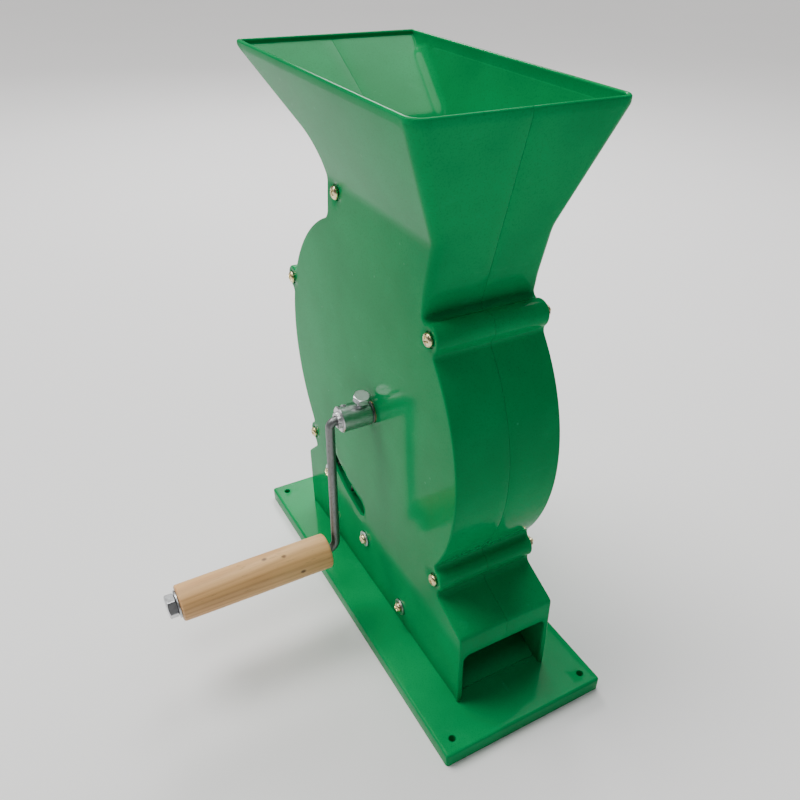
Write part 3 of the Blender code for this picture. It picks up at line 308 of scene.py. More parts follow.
def circle(centre, radius, sides=48, inwards=False):
    spoke = np.exp(1j * np.linspace(0, 2 * np.pi, sides, endpoint=False))
    return centre + radius * spoke, -spoke if inwards else spoke


def edgeProfile(low, high, lowRound, highRound, steps=4):
    # (inset, height) up a wall with its lower and upper edges rounded.
    turn = np.linspace(0, np.pi / 2, steps + 1)
    start = np.stack([lowRound * (1 - np.sin(turn)), low + lowRound * (1 - np.cos(turn))], 1)
    end = np.stack([highRound * (1 - np.cos(turn)), high - highRound * (1 - np.sin(turn))], 1)
    return np.concatenate([start, end])


def slab(skin, loops, put, spacing=0):
    # A plate between flat faces. Each loop is (points, outward normals, profile), and its
    # wall is the loop moved in by the profile's inset at the profile's height.
    for points, normals, profile in loops:
        inset, height = profile[:, :1], profile[:, 1:]
        wall = points[None, :] - normals[None, :] * inset
        skin.sheet(put(wall, np.broadcast_to(height, wall.shape)), closeCols=True)
    for end in (0, -1):
        flat = [points - normals * profile[end, 0] for points, normals, profile in loops]
        where, faces = fill(flat, spacing)
        skin.add(put(where, np.full(len(where), loops[0][2][end, 1])), faces)


def frontView(points, out):              # a front view's points, out along Y
    return np.stack([points.real, out, points.imag], -1)


def planView(points, height):
    return np.stack([points.real, points.imag, height], -1)


def placed(local, origin, out):          # local points, their third axis laid along out
    out = np.array(out, float) / np.linalg.norm(out)
    up = np.array([0, 0, 1.0]) if abs(out[2]) < 0.9 else np.array([0, 1.0, 0])
    side = np.cross(up, out)
    side /= np.linalg.norm(side)
    return np.array(origin) + local @ np.array([side, np.cross(out, side), out])


def lathe(skin, profile, origin, out, sides=72, closed=False, shape=None):
    # A (radius, distance) profile turned about an axis: the radius times the cosine and sine
    # of the turn, across it, and the distance along it. shape changes radius and distance.
    turn = np.linspace(0, 2 * np.pi, sides, endpoint=False)[None, :]
    radius = np.repeat(profile[:, :1], sides, 1)
    along = np.repeat(profile[:, 1:], sides, 1)
    if shape:
        radius, along = shape(radius, along, turn)
    local = np.stack([radius * np.cos(turn), radius * np.sin(turn), along], -1)
    skin.sheet(placed(local, origin, out), closeRows=closed, closeCols=True)


def section(corners, closed=True, steps=5, step=0):    # (radius, distance, rounding) corners
    points, _ = eased([(r + 1j * d, c) for r, d, c in corners], closed, steps, step)
    return np.stack([points.real, points.imag], 1)


def smooth(low, high, value):            # 0 below low, 1 above high, an S between them
    t = np.clip((value - low) / (high - low), 0, 1)
    return t * t * (3 - 2 * t)


# Materials

class Wire:                              # a socket; arithmetic on it adds Math nodes

    def __init__(self, shop, socket):
        self.shop, self.socket = shop, socket

    def calc(self, operation, *values):
        return self.shop.node("ShaderNodeMath", {"operation": operation}, dict(enumerate(values)))

    def __add__(self, other):
        return self.calc("ADD", self, other)

    def __radd__(self, other):
        return self.calc("ADD", other, self)

    def __sub__(self, other):
        return self.calc("SUBTRACT", self, other)

    def __rsub__(self, other):
        return self.calc("SUBTRACT", other, self)

    def __mul__(self, other):
        return self.calc("MULTIPLY", self, other)

    def __rmul__(self, other):
        return self.calc("MULTIPLY", other, self)

    def sine(self):
        return self.calc("SINE", self)

    def atMost(self, other):
        return self.calc("MINIMUM", self, other)


class Shop:                              # builds one material's nodes

    def __init__(self, name, **shader):
        self.material = bpy.data.materials.new(name)
        self.material.use_nodes = True
        self.tree = self.material.node_tree
        self.shader = self.tree.nodes["Principled BSDF"]
        for socket, value in shader.items():
            self.shader.inputs[socket.replace("_", " ")].default_value = value
        self.place = self.node("ShaderNodeTexCoord", {}, {}, "Object")

    def node(self, kind, settings, values, output=0):
        made = self.tree.nodes.new(kind)
        for key, value in settings.items():
            if key == "stops":
                self.setStops(made.color_ramp, value)
            else:
                setattr(made, key, value)
        for key, value in values.items():
            if isinstance(value, Wire):
                self.tree.links.new(value.socket, made.inputs[key])
            else:
                made.inputs[key].default_value = value
        return Wire(self, made.outputs[output])

    @staticmethod
    def setStops(ramp, stops):
        while len(ramp.elements) < len(stops):
            ramp.elements.new(0.5)
        for element, (at, colour) in zip(ramp.elements, stops):
            element.position = at
            element.color = (*colour, 1)

    def stretched(self, scale, centre=(0, 0, 0), turn=(0, 0, 0)):
        moved = self.node("ShaderNodeVectorMath", {"operation": "SUBTRACT"},
                          {0: self.place, 1: centre})
        return self.node("ShaderNodeMapping", {"vector_type": "POINT"},
                         {"Vector": moved, "Scale": scale, "Rotation": turn})

    def noise(self, scale, detail=2.0, roughness=0.5, where=None, distortion=0.0):
        values = {"Vector": where or self.place, "Scale": scale, "Detail": detail,
                  "Roughness": roughness, "Distortion": distortion}
        return self.node("ShaderNodeTexNoise", {}, values, "Fac")

    def cells(self, scale, where=None, feature="F1", output="Distance"):
        return self.node("ShaderNodeTexVoronoi", {"feature": feature},
                         {"Vector": where or self.place, "Scale": scale}, output)

    def above(self, value, low, high):   # 0 below low, 1 above high
        return self.node("ShaderNodeMapRange", {"interpolation_type": "SMOOTHSTEP"},
                         {"Value": value, "From Min": low, "From Max": high})

    def mixed(self, factor, a, b, how="MIX"):
        made = self.tree.nodes.new("ShaderNodeMix")
        made.data_type, made.blend_type = "RGBA", how
        for index, value in ((0, factor), (6, a), (7, b)):
            if isinstance(value, Wire):
                self.tree.links.new(value.socket, made.inputs[index])
            else:
                made.inputs[index].default_value = value if index == 0 else (*value, 1)
        return Wire(self, made.outputs[2])

    def ramp(self, value, *stops):
        return self.node("ShaderNodeValToRGB", {"stops": stops}, {"Fac": value}, "Color")

    def bump(self, height, distance, strength=1.0, onto=None):
        values = {"Height": height, "Distance": distance, "Strength": strength}
        if onto:
            values["Normal"] = onto
        return self.node("ShaderNodeBump", {}, values, "Normal")

    def finish(self, **sockets):
        for socket, wire in sockets.items():
            self.tree.links.new(wire.socket, self.shader.inputs[socket.replace("_", " ")])
        return self.material


greenFinish = {"colour": (0.0, 0.30, 0.088), "deep": (0.0, 0.235, 0.066), "chalk": (0.06, 0.46, 0.2),
               "grain": (0.0, 0.16, 0.04), "dust": (0.0, 0.05, 0.016), "roughness": 0.11,
               "rubbed": 0.12, "scratched": 0.12, "nicked": 0.4, "dusted": 0.75,
               "ripple": 0.0006, "peel": 0.000008, "scratchDeep": 0.00002}


def greenPlastic():
    # Deep green with pale rubbed patches, hair scratches and nicks, on a slightly wavy gloss.
    look = greenFinish
    shop = Shop("glossyGreenPlastic", Specular_IOR_Level=0.04)
    cloud = shop.noise(14, 3)
    colour = shop.mixed(shop.above(cloud, 0.3, 0.75), look["deep"], look["colour"])
    grain = shop.above(shop.noise(900, 2), 0.45, 0.8)
    colour = shop.mixed(grain * 0.4, colour, look["grain"])
    rubbed = shop.above(shop.noise(38, 5, 0.65, shop.stretched((1, 1, 2.2))), 0.6, 0.8)
    across = shop.stretched((0.25, 1, 9), turn=(0, 0.5, 0.2))
    scratch = shop.above(shop.noise(120, 2, 0.5, across), 0.72, 0.76)
    nick = shop.above(1 - shop.cells(70), 0.92, 0.97) * shop.above(shop.noise(22, 1), 0.54, 0.62)
    wear = rubbed * look["rubbed"] + scratch * look["scratched"] + nick * look["nicked"]
    colour = shop.mixed(wear.atMost(0.5), colour, look["chalk"])
    dust = shop.above(1 - shop.cells(160), 0.93, 0.98) * shop.above(shop.noise(31, 1), 0.55, 0.62)
    colour = shop.mixed(dust * look["dusted"], colour, look["dust"])
    rough = look["roughness"] + rubbed * 0.1 + scratch * 0.08 + cloud * 0.05
    wave = shop.bump(shop.noise(9, 1), look["ripple"])
    peel = shop.bump(shop.noise(420, 2), look["peel"], onto=wave)
    cut = shop.bump(1 - scratch, look["scratchDeep"], 0.5, onto=peel)
    return shop.finish(Base_Color=colour, Roughness=rough, Normal=cut)


def blackPlastic():
    shop = Shop("satinBlackPlastic")
    dusty = shop.above(shop.noise(45, 5, 0.6), 0.5, 0.8)
    colour = shop.mixed(dusty * 0.6, (0.012, 0.012, 0.013), (0.06, 0.058, 0.052))
    return shop.finish(Base_Color=colour, Roughness=0.38 + dusty * 0.3,
                       Normal=shop.bump(shop.noise(700, 2), 0.00002))


def yellowZinc():
    shop = Shop("yellowZinc", Metallic=1.0)
    tint = shop.ramp(shop.noise(160, 3, 0.55), (0.25, (0.80, 0.58, 0.24)), (0.5, (0.86, 0.74, 0.42)),
                     (0.62, (0.72, 0.66, 0.46)), (0.8, (0.82, 0.56, 0.40)))
    dull = shop.above(shop.noise(900, 3), 0.45, 0.75)
    colour = shop.mixed(dull * 0.35, tint, (0.42, 0.31, 0.15))
    return shop.finish(Base_Color=colour, Roughness=0.22 + dull * 0.22,
                       Normal=shop.bump(shop.noise(1500, 2), 0.00001))


def brightZinc():
    shop = Shop("brightZinc", Metallic=1.0)
    patch = shop.cells(420, output="Color")
    tone = shop.node("ShaderNodeSeparateColor", {}, {"Color": patch}, "Red")
    colour = shop.ramp(tone, (0.0, (0.50, 0.51, 0.52)), (1.0, (0.58, 0.59, 0.60)))
    spot = shop.above(shop.noise(700, 3, 0.6), 0.62, 0.76)
    colour = shop.mixed(spot * 0.2, colour, (0.24, 0.24, 0.23))
    return shop.finish(Base_Color=colour, Roughness=0.28 + tone * 0.07 + spot * 0.12,
                       Normal=shop.bump(shop.noise(1100, 2), 0.00002))


def greySteel():
    shop = Shop("galvanisedSteel", Metallic=1.0)
    speck = shop.above(shop.noise(520, 4, 0.65), 0.52, 0.66)
    run = shop.noise(90, 3, 0.6, shop.stretched((1, 1, 0.25)))
    colour = shop.ramp(run, (0.3, (0.17, 0.18, 0.18)), (0.7, (0.27, 0.28, 0.28)))
    colour = shop.mixed(speck * 0.35, colour, (0.16, 0.155, 0.15))
    return shop.finish(Base_Color=colour, Roughness=0.46 + speck * 0.2,
                       Normal=shop.bump(shop.noise(480, 4) - speck * 0.4, 0.00006))


def castGrey():
    shop = Shop("castIron", Metallic=0.85)
    grain = shop.noise(380, 5, 0.7)
    rust = shop.above(shop.noise(30, 5, 0.65), 0.58, 0.72)
    colour = shop.ramp(grain, (0.3, (0.10, 0.10, 0.105)), (0.75, (0.26, 0.26, 0.265)))
    colour = shop.mixed(rust * 0.4, colour, (0.17, 0.10, 0.06))
    return shop.finish(Base_Color=colour, Roughness=0.46 + rust * 0.3,
                       Normal=shop.bump(grain, 0.00015))


def bronze():
    shop = Shop("sinteredBronze", Metallic=1.0)
    pore = shop.above(shop.noise(1600, 2), 0.55, 0.7)
    colour = shop.mixed(pore * 0.7, (0.52, 0.33, 0.15), (0.13, 0.08, 0.04))
    return shop.finish(Base_Color=colour, Roughness=0.32 + pore * 0.3,
                       Normal=shop.bump(1 - pore, 0.00002))


woodFinish = {"pith": (14.0, 0.0, -34.0), "ringsPerMetre": 260, "pale": (0.80, 0.46, 0.19),
              "ring": (0.42, 0.17, 0.05), "streak": (0.62, 0.32, 0.12), "fibre": (0.40, 0.19, 0.07),
              "knot": (0.10, 0.045, 0.018)}


def paleWood():
    # Growth rings are circles about a pith beside the grip, bent by noise, and fibres are
    # noise drawn out along the grip.
    shop = Shop("turnedPine")
    middle = centreOf("grip") * mm
    pith = tuple(middle + np.array(woodFinish["pith"]) * mm)
    warp = shop.noise(16, 2, 0.5, shop.stretched((1, 0.18, 1)))
    across = shop.node("ShaderNodeVectorMath", {"operation": "LENGTH"},
                       {0: shop.stretched((1, 0.035, 1), pith)}, "Value")
    rings = ((across * woodFinish["ringsPerMetre"] + warp * 8) * math.tau).sine() * 0.5 + 0.5
    late = shop.above(rings, 0.35, 0.98)
    fibre = shop.noise(900, 3, 0.6, shop.stretched((1, 0.025, 1)))
    patch = shop.above(shop.noise(24, 3, 0.5, shop.stretched((1, 0.3, 1))), 0.4, 0.7)
    colour = shop.mixed(patch * 0.6, woodFinish["pale"], woodFinish["streak"])
    colour = shop.mixed(late * (0.22 + patch * 0.26), colour, woodFinish["ring"])
    colour = shop.mixed(shop.above(fibre, 0.5, 0.8) * 0.4, colour, woodFinish["fibre"])
    knot = shop.above(1 - shop.cells(46, shop.stretched((1, 0.7, 1))), 0.9, 0.965)
    pore = shop.above(shop.noise(1300, 2, 0.5, shop.stretched((1, 0.09, 1))), 0.66, 0.74)
    colour = shop.mixed((knot * 0.8 + pore * 0.45).atMost(0.85), colour, woodFinish["knot"])
    height = late * 0.5 + fibre * 0.5 - pore * 0.8 - knot
    return shop.finish(Base_Color=colour, Roughness=0.46 + late * 0.1 + pore * 0.25,
                       Normal=shop.bump(height, 0.00012))


def paleFloor():
    shop = Shop("paleFloor", Roughness=0.85, Specular_IOR_Level=0.2)
    tone = shop.noise(2, 2)
    return shop.finish(Base_Color=shop.mixed(tone, (0.88, 0.87, 0.87), (0.91, 0.90, 0.90)))


finishes = {"green_plastic": greenPlastic(), "black_plastic": blackPlastic(),
            "yellow_zinc": yellowZinc(), "bright_zinc": brightZinc(), "grey_steel": greySteel(),
            "cast_grey": castGrey(), "bronze": bronze(), "pale_wood": paleWood()}
slotOf = {part["node"]: part["material_slot"] for part in frame["record"]["subparts"]}
bodies = frame["record"]["behaviour"]["bodies"]
bodyOf = {node: body for body, nodes in bodies.items() for node in nodes}
print("materials", len(finishes))


def keep(skin, name, node, sharpFrom=32):  # a finished piece that stands for a CAD node
    thing = skin.object(name, sharpFrom)
    thing.data.materials.append(finishes[slotOf[node]])
    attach(thing, bodyOf[node])
    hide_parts(node)
    return thing


# Housing

shaftAt = centreOf("shaft")
rimHeight = boxOf("housing_front")[1][2]
floorHeight = boxOf("housing_front")[0][2]
lobeNames = ("upper_right", "upper_left", "lower_left", "lower_right")


def frontPlace(node):                    # a node's centre in the front view
    middle = centreOf(node)
    return middle[0] + 1j * middle[2]


housing = {
    "halfWidth": 41.5, "wall": 3.0, "floorWall": 2.7, "drum": -9.7 + 205.9j, "drumRadius": 136.7,
    "footLeft": -142.0, "footRight": 143.5, "footLean": 1.5, "footRound": 1.2,
    "shoulderLeft": 78.0, "shoulderRight": 86.0, "slantLeft": 41.8, "slantRight": 23.8,
    "neckLeft": -56 + 342.6j, "neckLean": 7.6, "crook": -60 + 391.9j, "waist": 80.2 + 315j,
    "rimLeft": -131.4, "rimRight": 116.3, "rimHalfWidth": 69.0, "flareFrom": 363.0, "flareBend": 4.0,
    "band": 4.5, "bandBend": 1.5, "lipThick": 3.1, "lipDeep": 7.0, "lipRound": 1.5,
    "lobe": 9.3, "lobeBlend": 5.0, "neckBlend": 12.0, "crookBlend": 20.0, "shoulderRound": 4.5,
    "waistBlend": 3.0, "drumBlend": 2.0, "rimCornerLeft": 4.6, "rimCornerRight": 11.0,
    "innerRimLeft": 1.5, "innerRimRight": 8.0,
    "edge": 1.3, "slopeEdge": 3.2, "slopeEdgeRise": (352, 378), "innerEdge": 0.5,
    "endEdgeLow": 5.0, "endEdgeRim": 9.0, "endEdgeRise": (312, 330),
    "cornerInside": 8.0, "cornerRise": (372, 396), "cornerFall": (422, 428),
    "gap": 0.04, "groove": 0.3, "innerGroove": 0.12, "support": 0.7,
    "outletHalf": 37.5, "outletTop": 66.0, "outletRound": 6.0, "outletEdge": 0.8, "split": 71.0,
    "slotRadius": 117.5, "slotWidth": 17.0, "slotFrom": 231.8, "slotTo": 262.0, "slotEdge": 0.5,
    "screwHole": 2.7, "screwSink": 5.5, "screwSinkDeep": 0.9, "seatEdge": 0.3, "sideHole": 2.5,
    "bushHole": 9.45, "bushEdge": 0.4, "boss": 17.0, "bossHigh": 2.1, "bossFoot": 0.6,
    "pillar": 7.0, "pillarFoot": 1.0,
}
h = housing
bandFrom = rimHeight - h["band"]
flare = (h["rimHalfWidth"] - h["halfWidth"]) / (bandFrom - h["flareFrom"])
lipFrom = rimHeight - h["lipRound"]
innerFlat = h["halfWidth"] - h["wall"]
bendShares = (-1, -0.5, 0, 0.5, 1)
flareRows = [h["flareFrom"] + h["flareBend"] * share for share in bendShares]
bandRows = [bandFrom + h["bandBend"] * share for share in bendShares]
footShares = (0.04, 0.12, 0.25, 0.45, 0.7, 1)
footRows = [floorHeight + h["footRound"] * share for share in footShares]


def bent(value, width):                  # 0 below, the value above, a parabola between
    soft = (value + width) ** 2 / (4 * width)
    return np.where(value < -width, 0.0, np.where(value > width, value, soft))


def footEasing(height):                  # how far the skin draws in where it meets the plate
    deep = np.clip((floorHeight + h["footRound"] - height) / h["footRound"], 0, 1)
    return h["footRound"] * (1 - np.sqrt(1 - deep ** 2))


def outerFace(height):
    # Distance of the face from the parting plane: upright, then leaning out, then a band.
    lean = bent(height - h["flareFrom"], h["flareBend"]) - bent(height - bandFrom, h["bandBend"])
    return h["halfWidth"] + flare * lean - footEasing(height)


def innerFace(height):
    # The same for the inside, a wall further in, with a step out to the thin lip at the rim.
    ledge = smooth(rimHeight - h["lipDeep"] - 0.5, rimHeight - h["lipDeep"], height)
    thick = h["wall"] + 0.2 * smooth(h["flareFrom"] - 4, h["flareFrom"] + 4, height)
    lean = bent(height - h["flareFrom"], h["flareBend"]) - bent(height - bandFrom, h["bandBend"])
    return h["halfWidth"] + flare * lean - thick + (thick - h["lipThick"]) * ledge


def housingRuns():
    left, right = h["rimLeft"], h["rimRight"]
    leanLeft = math.degrees(math.atan2(h["shoulderLeft"], h["footLean"]))
    leanRight = math.degrees(math.atan2(h["shoulderRight"], h["footLean"]))
    runs = {
        "footLeft": straight(h["footLeft"] + 1j * floorHeight, leanLeft),
        "slantLeft": straight(h["footLeft"] + h["footLean"] + 1j * h["shoulderLeft"],
                              h["slantLeft"]),
        "drum": ring(h["drum"], h["drumRadius"]),
        "neck": straight(h["neckLeft"], 90 - h["neckLean"]),
        "hopperFloor": between(h["crook"], left + 1j * bandFrom),
        "bandLeft": straight(left + 0j, 90),
        "bandRight": straight(right + 0j, -90),
        "hopperEnd": between(right + 1j * bandFrom, h["waist"]),
        "slantRight": straight(h["footRight"] - h["footLean"] + 1j * h["shoulderRight"],
                               -h["slantRight"]),
        "footRight": straight(h["footRight"] + 1j * floorHeight, -leanRight),
    }
    for name in lobeNames:
        runs[name] = ring(frontPlace("clamp_screw_" + name), h["lobe"])
    return runs


def onLine(run, height):                 # the point of a straight run at a height
    return run["through"] + run["way"] * (height - run["through"].imag) / run["way"].imag


def housingChains():
    # The outer and inner outlines, each as left side, right side above the outlet's split, and
    # the stub of the right foot below it.
    runs = housingRuns()
    wall, tight = h["wall"], h["shoulderRound"] - h["wall"]
    lobe, shoulder = (1, h["lobeBlend"]), (-1, h["shoulderRound"])
    neck, crook, waist = (1, h["neckBlend"]), (1, h["crookBlend"]), (1, h["waistBlend"])
    heights = [floorHeight] + footRows + flareRows + bandRows
    split = onLine(runs["footRight"], h["split"])
    outerLeft = chain(
        [runs[k] for k in ("footLeft", "slantLeft", "lower_left", "drum", "upper_left", "drum",
                           "neck", "hopperFloor", "bandLeft")],
        [shoulder, lobe, lobe, lobe, lobe, neck, crook, (-1, h["rimCornerLeft"])],
        onLine(runs["footLeft"], floorHeight), h["rimLeft"] + 1j * lipFrom, heights=heights)
    outerRight = chain(
        [runs[k] for k in ("bandRight", "hopperEnd", "upper_right", "drum", "lower_right",
                           "slantRight", "footRight")],
        [(-1, h["rimCornerRight"]), waist, lobe, lobe, lobe, shoulder],
        h["rimRight"] + 1j * lipFrom, split, heights=heights)
    outerStub = chain([runs["footRight"]], [], split, onLine(runs["footRight"], floorHeight),
                      heights=heights)
    inner = {name: shifted(run, -wall) for name, run in runs.items()}
    inner["hopperFloor"] = shifted(runs["hopperFloor"], -h["floorWall"])
    lipLeft = straight(h["rimLeft"] + h["lipThick"] + 0j, 90)
    lipRight = straight(h["rimRight"] - wall + 0j, -90)
    split = onLine(inner["footRight"], h["split"])
    innerLeft = chain(
        [inner[k] for k in ("footLeft", "slantLeft", "drum", "neck", "hopperFloor")] + [lipLeft],
        [(-1, tight), (1, h["drumBlend"]), (1, h["neckBlend"] + wall), (1, h["crookBlend"] + wall),
         (-1, h["innerRimLeft"])],
        onLine(inner["footLeft"], floorHeight), h["rimLeft"] + h["lipThick"] + 1j * lipFrom,
        heights=flareRows)
    innerRight = chain(
        [lipRight] + [inner[k] for k in ("hopperEnd", "drum", "slantRight", "footRight")],
        [(-1, h["innerRimRight"]), waist, waist, (-1, tight)],
        h["rimRight"] - wall + 1j * lipFrom, split, heights=flareRows)
    innerStub = chain([inner["footRight"]], [], split, onLine(inner["footRight"], floorHeight),
                      heights=heights)
    return {"outer": (outerLeft, outerRight, outerStub), "inner": (innerLeft, innerRight, innerStub)}


def edgeRadius(points, outer):
    # The rounding between wall and face: small round the drum, larger along the hopper, and
    # wide in the hopper's left corners inside.
    height = points.imag
    left = h["edge"] + (h["slopeEdge"] - h["edge"]) * smooth(*h["slopeEdgeRise"], height)
    end = np.interp(height, [*h["endEdgeRise"], rimHeight],
                    [h["edge"], h["endEdgeLow"], h["endEdgeRim"]])
    radius = np.where(points.real < 0, left, end)
    if outer:
        return radius
    corner = smooth(*h["cornerRise"], height) - smooth(*h["cornerFall"], height)
    extra = (h["cornerInside"] - h["innerEdge"]) * corner
    return (np.maximum(radius - h["wall"] + 0.4, h["innerEdge"])
            + np.where(points.real < 0, extra, 0.0))


partingSteps, wallSteps, filletSteps = 4, 6, 9
filletRow = partingSteps + wallSteps - 1     # the row where the rounding to the face starts


def wallLevels(line, outer, face):
    # Rows up one wall: the rounded parting edge, the wall, the rounding to the face, and a
    # flat step on the face. Each row is the outline moved in by its inset, at its distance
    # out, and the distance is measured from the face at the moved point's height.
    points, normals = line
    level = (points.imag < h["split"]) | (points.imag > bandFrom + h["bandBend"])
    steep = level & (np.abs(normals.real) > 0.5)
    inwards = np.where(steep, -1 / np.where(steep, normals.real, 1), -normals)
    radius = edgeRadius(points, outer)
    fade = smooth(h["split"], h["split"] + 12, points.imag) if points[0].real > 0 else 1.0
    size = h["groove"] if outer else h["innerGroove"]
    groove = (size if outer else -size) * fade * np.ones(len(points))
    drawn = footEasing(points.imag) if outer else np.zeros(len(points))
    insets, outs = [], []
    for turn in np.linspace(0, np.pi / 2, partingSteps):
        insets.append(drawn + groove * (1 - np.sin(turn)))
        outs.append(np.full(len(points), h["gap"] + size * (1 - np.cos(turn))))
    start, stop = outs[-1], face(points.imag) - radius
    for share in np.linspace(0, 1, wallSteps + 1)[1:]:
        insets.append(drawn)
        outs.append(start + (stop - start) * share)
    for turn in np.linspace(0, np.pi / 2, filletSteps + 1)[1:]:
        inset = drawn + radius * (1 - np.cos(turn))
        moved = points + inwards * inset
        insets.append(inset)
        outs.append(face(moved.imag) - radius * (1 - np.sin(turn)))
    inset = drawn + radius + h["support"]
    insets.append(inset)
    outs.append(face((points + inwards * inset).imag))
    return points[None, :] + inwards[None, :] * np.array(insets), np.array(outs)


def slotLoop():                          # two concentric arcs joined by round ends
    first, last = np.radians(h["slotFrom"]), np.radians(h["slotTo"])
    half = h["slotWidth"] / 2
    outerArc = np.linspace(first, last, 40)
    cap = np.linspace(0, np.pi, 17)
    spokes = np.exp(1j * outerArc)
    ends = [h["drum"] + h["slotRadius"] * np.exp(1j * a) for a in (last, first)]
    points = [h["drum"] + (h["slotRadius"] + half) * spokes,
              ends[0] + half * np.exp(1j * (last + cap))[1:-1],
              h["drum"] + (h["slotRadius"] - half) * spokes[::-1],
              ends[1] + half * np.exp(1j * (first + np.pi + cap))[1:-1]]
    normals = [-spokes, -np.exp(1j * (last + cap))[1:-1], spokes[::-1],
               -np.exp(1j * (first + np.pi + cap))[1:-1]]
    return np.concatenate(points), np.concatenate(normals)


def mouthPath(grow):                     # half of the outlet's mouth, as out + height
    side, top, r = h["outletHalf"] + grow, h["outletTop"] + grow, h["outletRound"]
    corner = (h["outletHalf"] - r) + 1j * (h["outletTop"] - r)
    arc = corner + (r + grow) * np.exp(1j * np.linspace(np.pi / 2, 0, 13))
    across = np.linspace(h["gap"], corner.real, 7)[:-1] + 1j * top
    down = side + 1j * np.linspace(corner.imag, floorHeight, 9)[1:]
    return np.concatenate([across, arc, down])


def facing(side):                        # places a front view's points out to one side
    def put(points, out):
        return np.stack([points.real, side * out, points.imag], -1)
    return put


def below(depth):                        # a distance out, under the face
    return lambda height: outerFace(height) - depth


def level(out):
    return lambda height: np.full(len(height), out)


def addWalls(skin, put):
    rows = {}
    for kind, face in (("outer", outerFace), ("inner", innerFace)):
        left, right, stub = (wallLevels(line, kind == "outer", face) for line in housingChains()[kind])
        skin.sheet(put(*left))
        skin.sheet(put(*right))
        skin.sheet(put(stub[0][filletRow:], stub[1][filletRow:]))
        rows[kind] = (left, right, stub)
    return rows


def addHole(skin, put, centre, steps, sides=40):
    # Circles about one centre, each step with its radius and its distance out.
    spoke = np.exp(1j * np.linspace(0, 2 * np.pi, sides, endpoint=False))[None, :]
    loops = centre + np.array([radius for radius, _ in steps])[:, None] * spoke
    out = np.array([place(loop.imag) for loop, (_, place) in zip(loops, steps)])
    skin.sheet(put(loops, out), closeCols=True)
    return loops[0], loops[-1]


def addHoles(skin, put):                 # all round holes, and the loops they leave open
    sink, hole, deep, edge = h["screwSink"], h["screwHole"], h["screwSinkDeep"], h["seatEdge"]
    seat = [(sink + edge, below(0)), (sink + edge / 3, below(edge / 3)), (sink, below(edge)),
            (sink, below(deep - edge)), (sink - edge, below(deep)), (hole, below(deep)),
            (hole, level(h["gap"]))]
    pillar, root = h["pillar"], h["pillarFoot"]
    post = [(pillar, level(h["gap"])), (pillar, lambda height: innerFace(height) - root),
            (pillar + 0.3 * root, lambda height: innerFace(height) - 0.3 * root),
            (pillar + root, innerFace)]
    bush, boss, edge = h["bushHole"], h["boss"], h["bushEdge"]
    top, foot = innerFlat - h["bossHigh"], h["bossFoot"]
    hub = [(bush + edge, below(0)), (bush + edge / 4, below(edge / 4)), (bush, below(edge)),
           (bush, level(top)), (boss - edge, level(top)), (boss, level(top + edge)),
           (boss, level(innerFlat - 0.5)), (boss + foot, level(innerFlat))]
    ends = {"outer": [], "inner": [], "parting": []}
    jobs = [(frontPlace("clamp_screw_" + name), seat, 40, "parting") for name in lobeNames]
    jobs.append((frontPlace("clamp_screw_neck"), seat + post, 40, "inner"))
    for name in ("upper", "middle", "lower", "block"):
        plain = [(h["sideHole"], below(0)), (h["sideHole"], innerFace)]
        jobs.append((frontPlace("side_screw_front_" + name), plain, 24, "inner"))
    jobs.append((shaftAt[0] + 1j * shaftAt[2], hub, 64, "inner"))
    for centre, steps, sides, end in jobs:
        first, last = addHole(skin, put, centre, steps, sides)
        ends["outer"].append(first)
        ends[end].append(last)
    return ends


def addSlot(skin, put, ends):            # the arc slot, with both its edges rounded
    loop, normals = slotLoop()
    turn, edge = np.linspace(0, np.pi / 2, 5)[:, None], h["slotEdge"]
    grow = edge * np.concatenate([1 - np.sin(turn), 1 - np.cos(turn)])
    out = np.concatenate([h["halfWidth"] - edge * (1 - np.cos(turn)),
                          innerFlat + edge * (1 - np.sin(turn))])
    walls = loop[None, :] - normals[None, :] * grow
    skin.sheet(put(walls, np.broadcast_to(out, walls.shape)), closeCols=True)
    ends["outer"].append(walls[0])
    ends["inner"].append(walls[-1])


def addFaces(skin, put, rows, ends):
    # The flat faces between the walls' last rows and the holes. Returns each face's upper
    # and lower edge.
    ledgeRows = [rimHeight - h["lipDeep"] + f for f in (-0.7, -0.5, -0.35, -0.2, -0.05, 0.1)]
    heights = {"outer": footRows + [floorHeight + h["footRound"] * 1.6] + flareRows + bandRows,
               "inner": flareRows + ledgeRows}
    tops, bottoms = {}, {}
    for kind, face in (("outer", outerFace), ("inner", innerFace)):
        left, right, stub = rows[kind]
        tops[kind] = np.linspace(left[0][-1, -1], right[0][-1, 0], 70)[1:-1]
        bottoms[kind] = np.linspace(stub[0][-1, -1], left[0][-1, 0], 70)[1:-1]
        loop = np.concatenate([left[0][-1], tops[kind], right[0][-1], stub[0][-1, 1:], bottoms[kind]])
        where, faces = fill([loop] + ends[kind], 9.0, heights[kind])
        skin.add(put(where, face(where.imag)), faces)
    return tops, bottoms


def addRim(skin, put, rows, tops):
    # Half an ellipse from the outer skin's upper edge to the inner one's.
    edges = {}
    for kind, face in (("outer", outerFace), ("inner", innerFace)):
        left, right, _ = rows[kind]
        flat = np.concatenate([left[0][:, -1], tops[kind], right[0][::-1, 0]])
        out = np.concatenate([left[1][:, -1], face(tops[kind].imag), right[1][::-1, 0]])
        edges[kind] = put(flat, out)
    turn = np.linspace(0, np.pi, 13)[:, None, None]
    lip = (edges["outer"] + (edges["inner"] - edges["outer"]) * (1 - np.cos(turn)) / 2
           + np.array([0, 0, h["lipRound"]]) * np.sin(turn))
    skin.sheet(lip)
    return lip


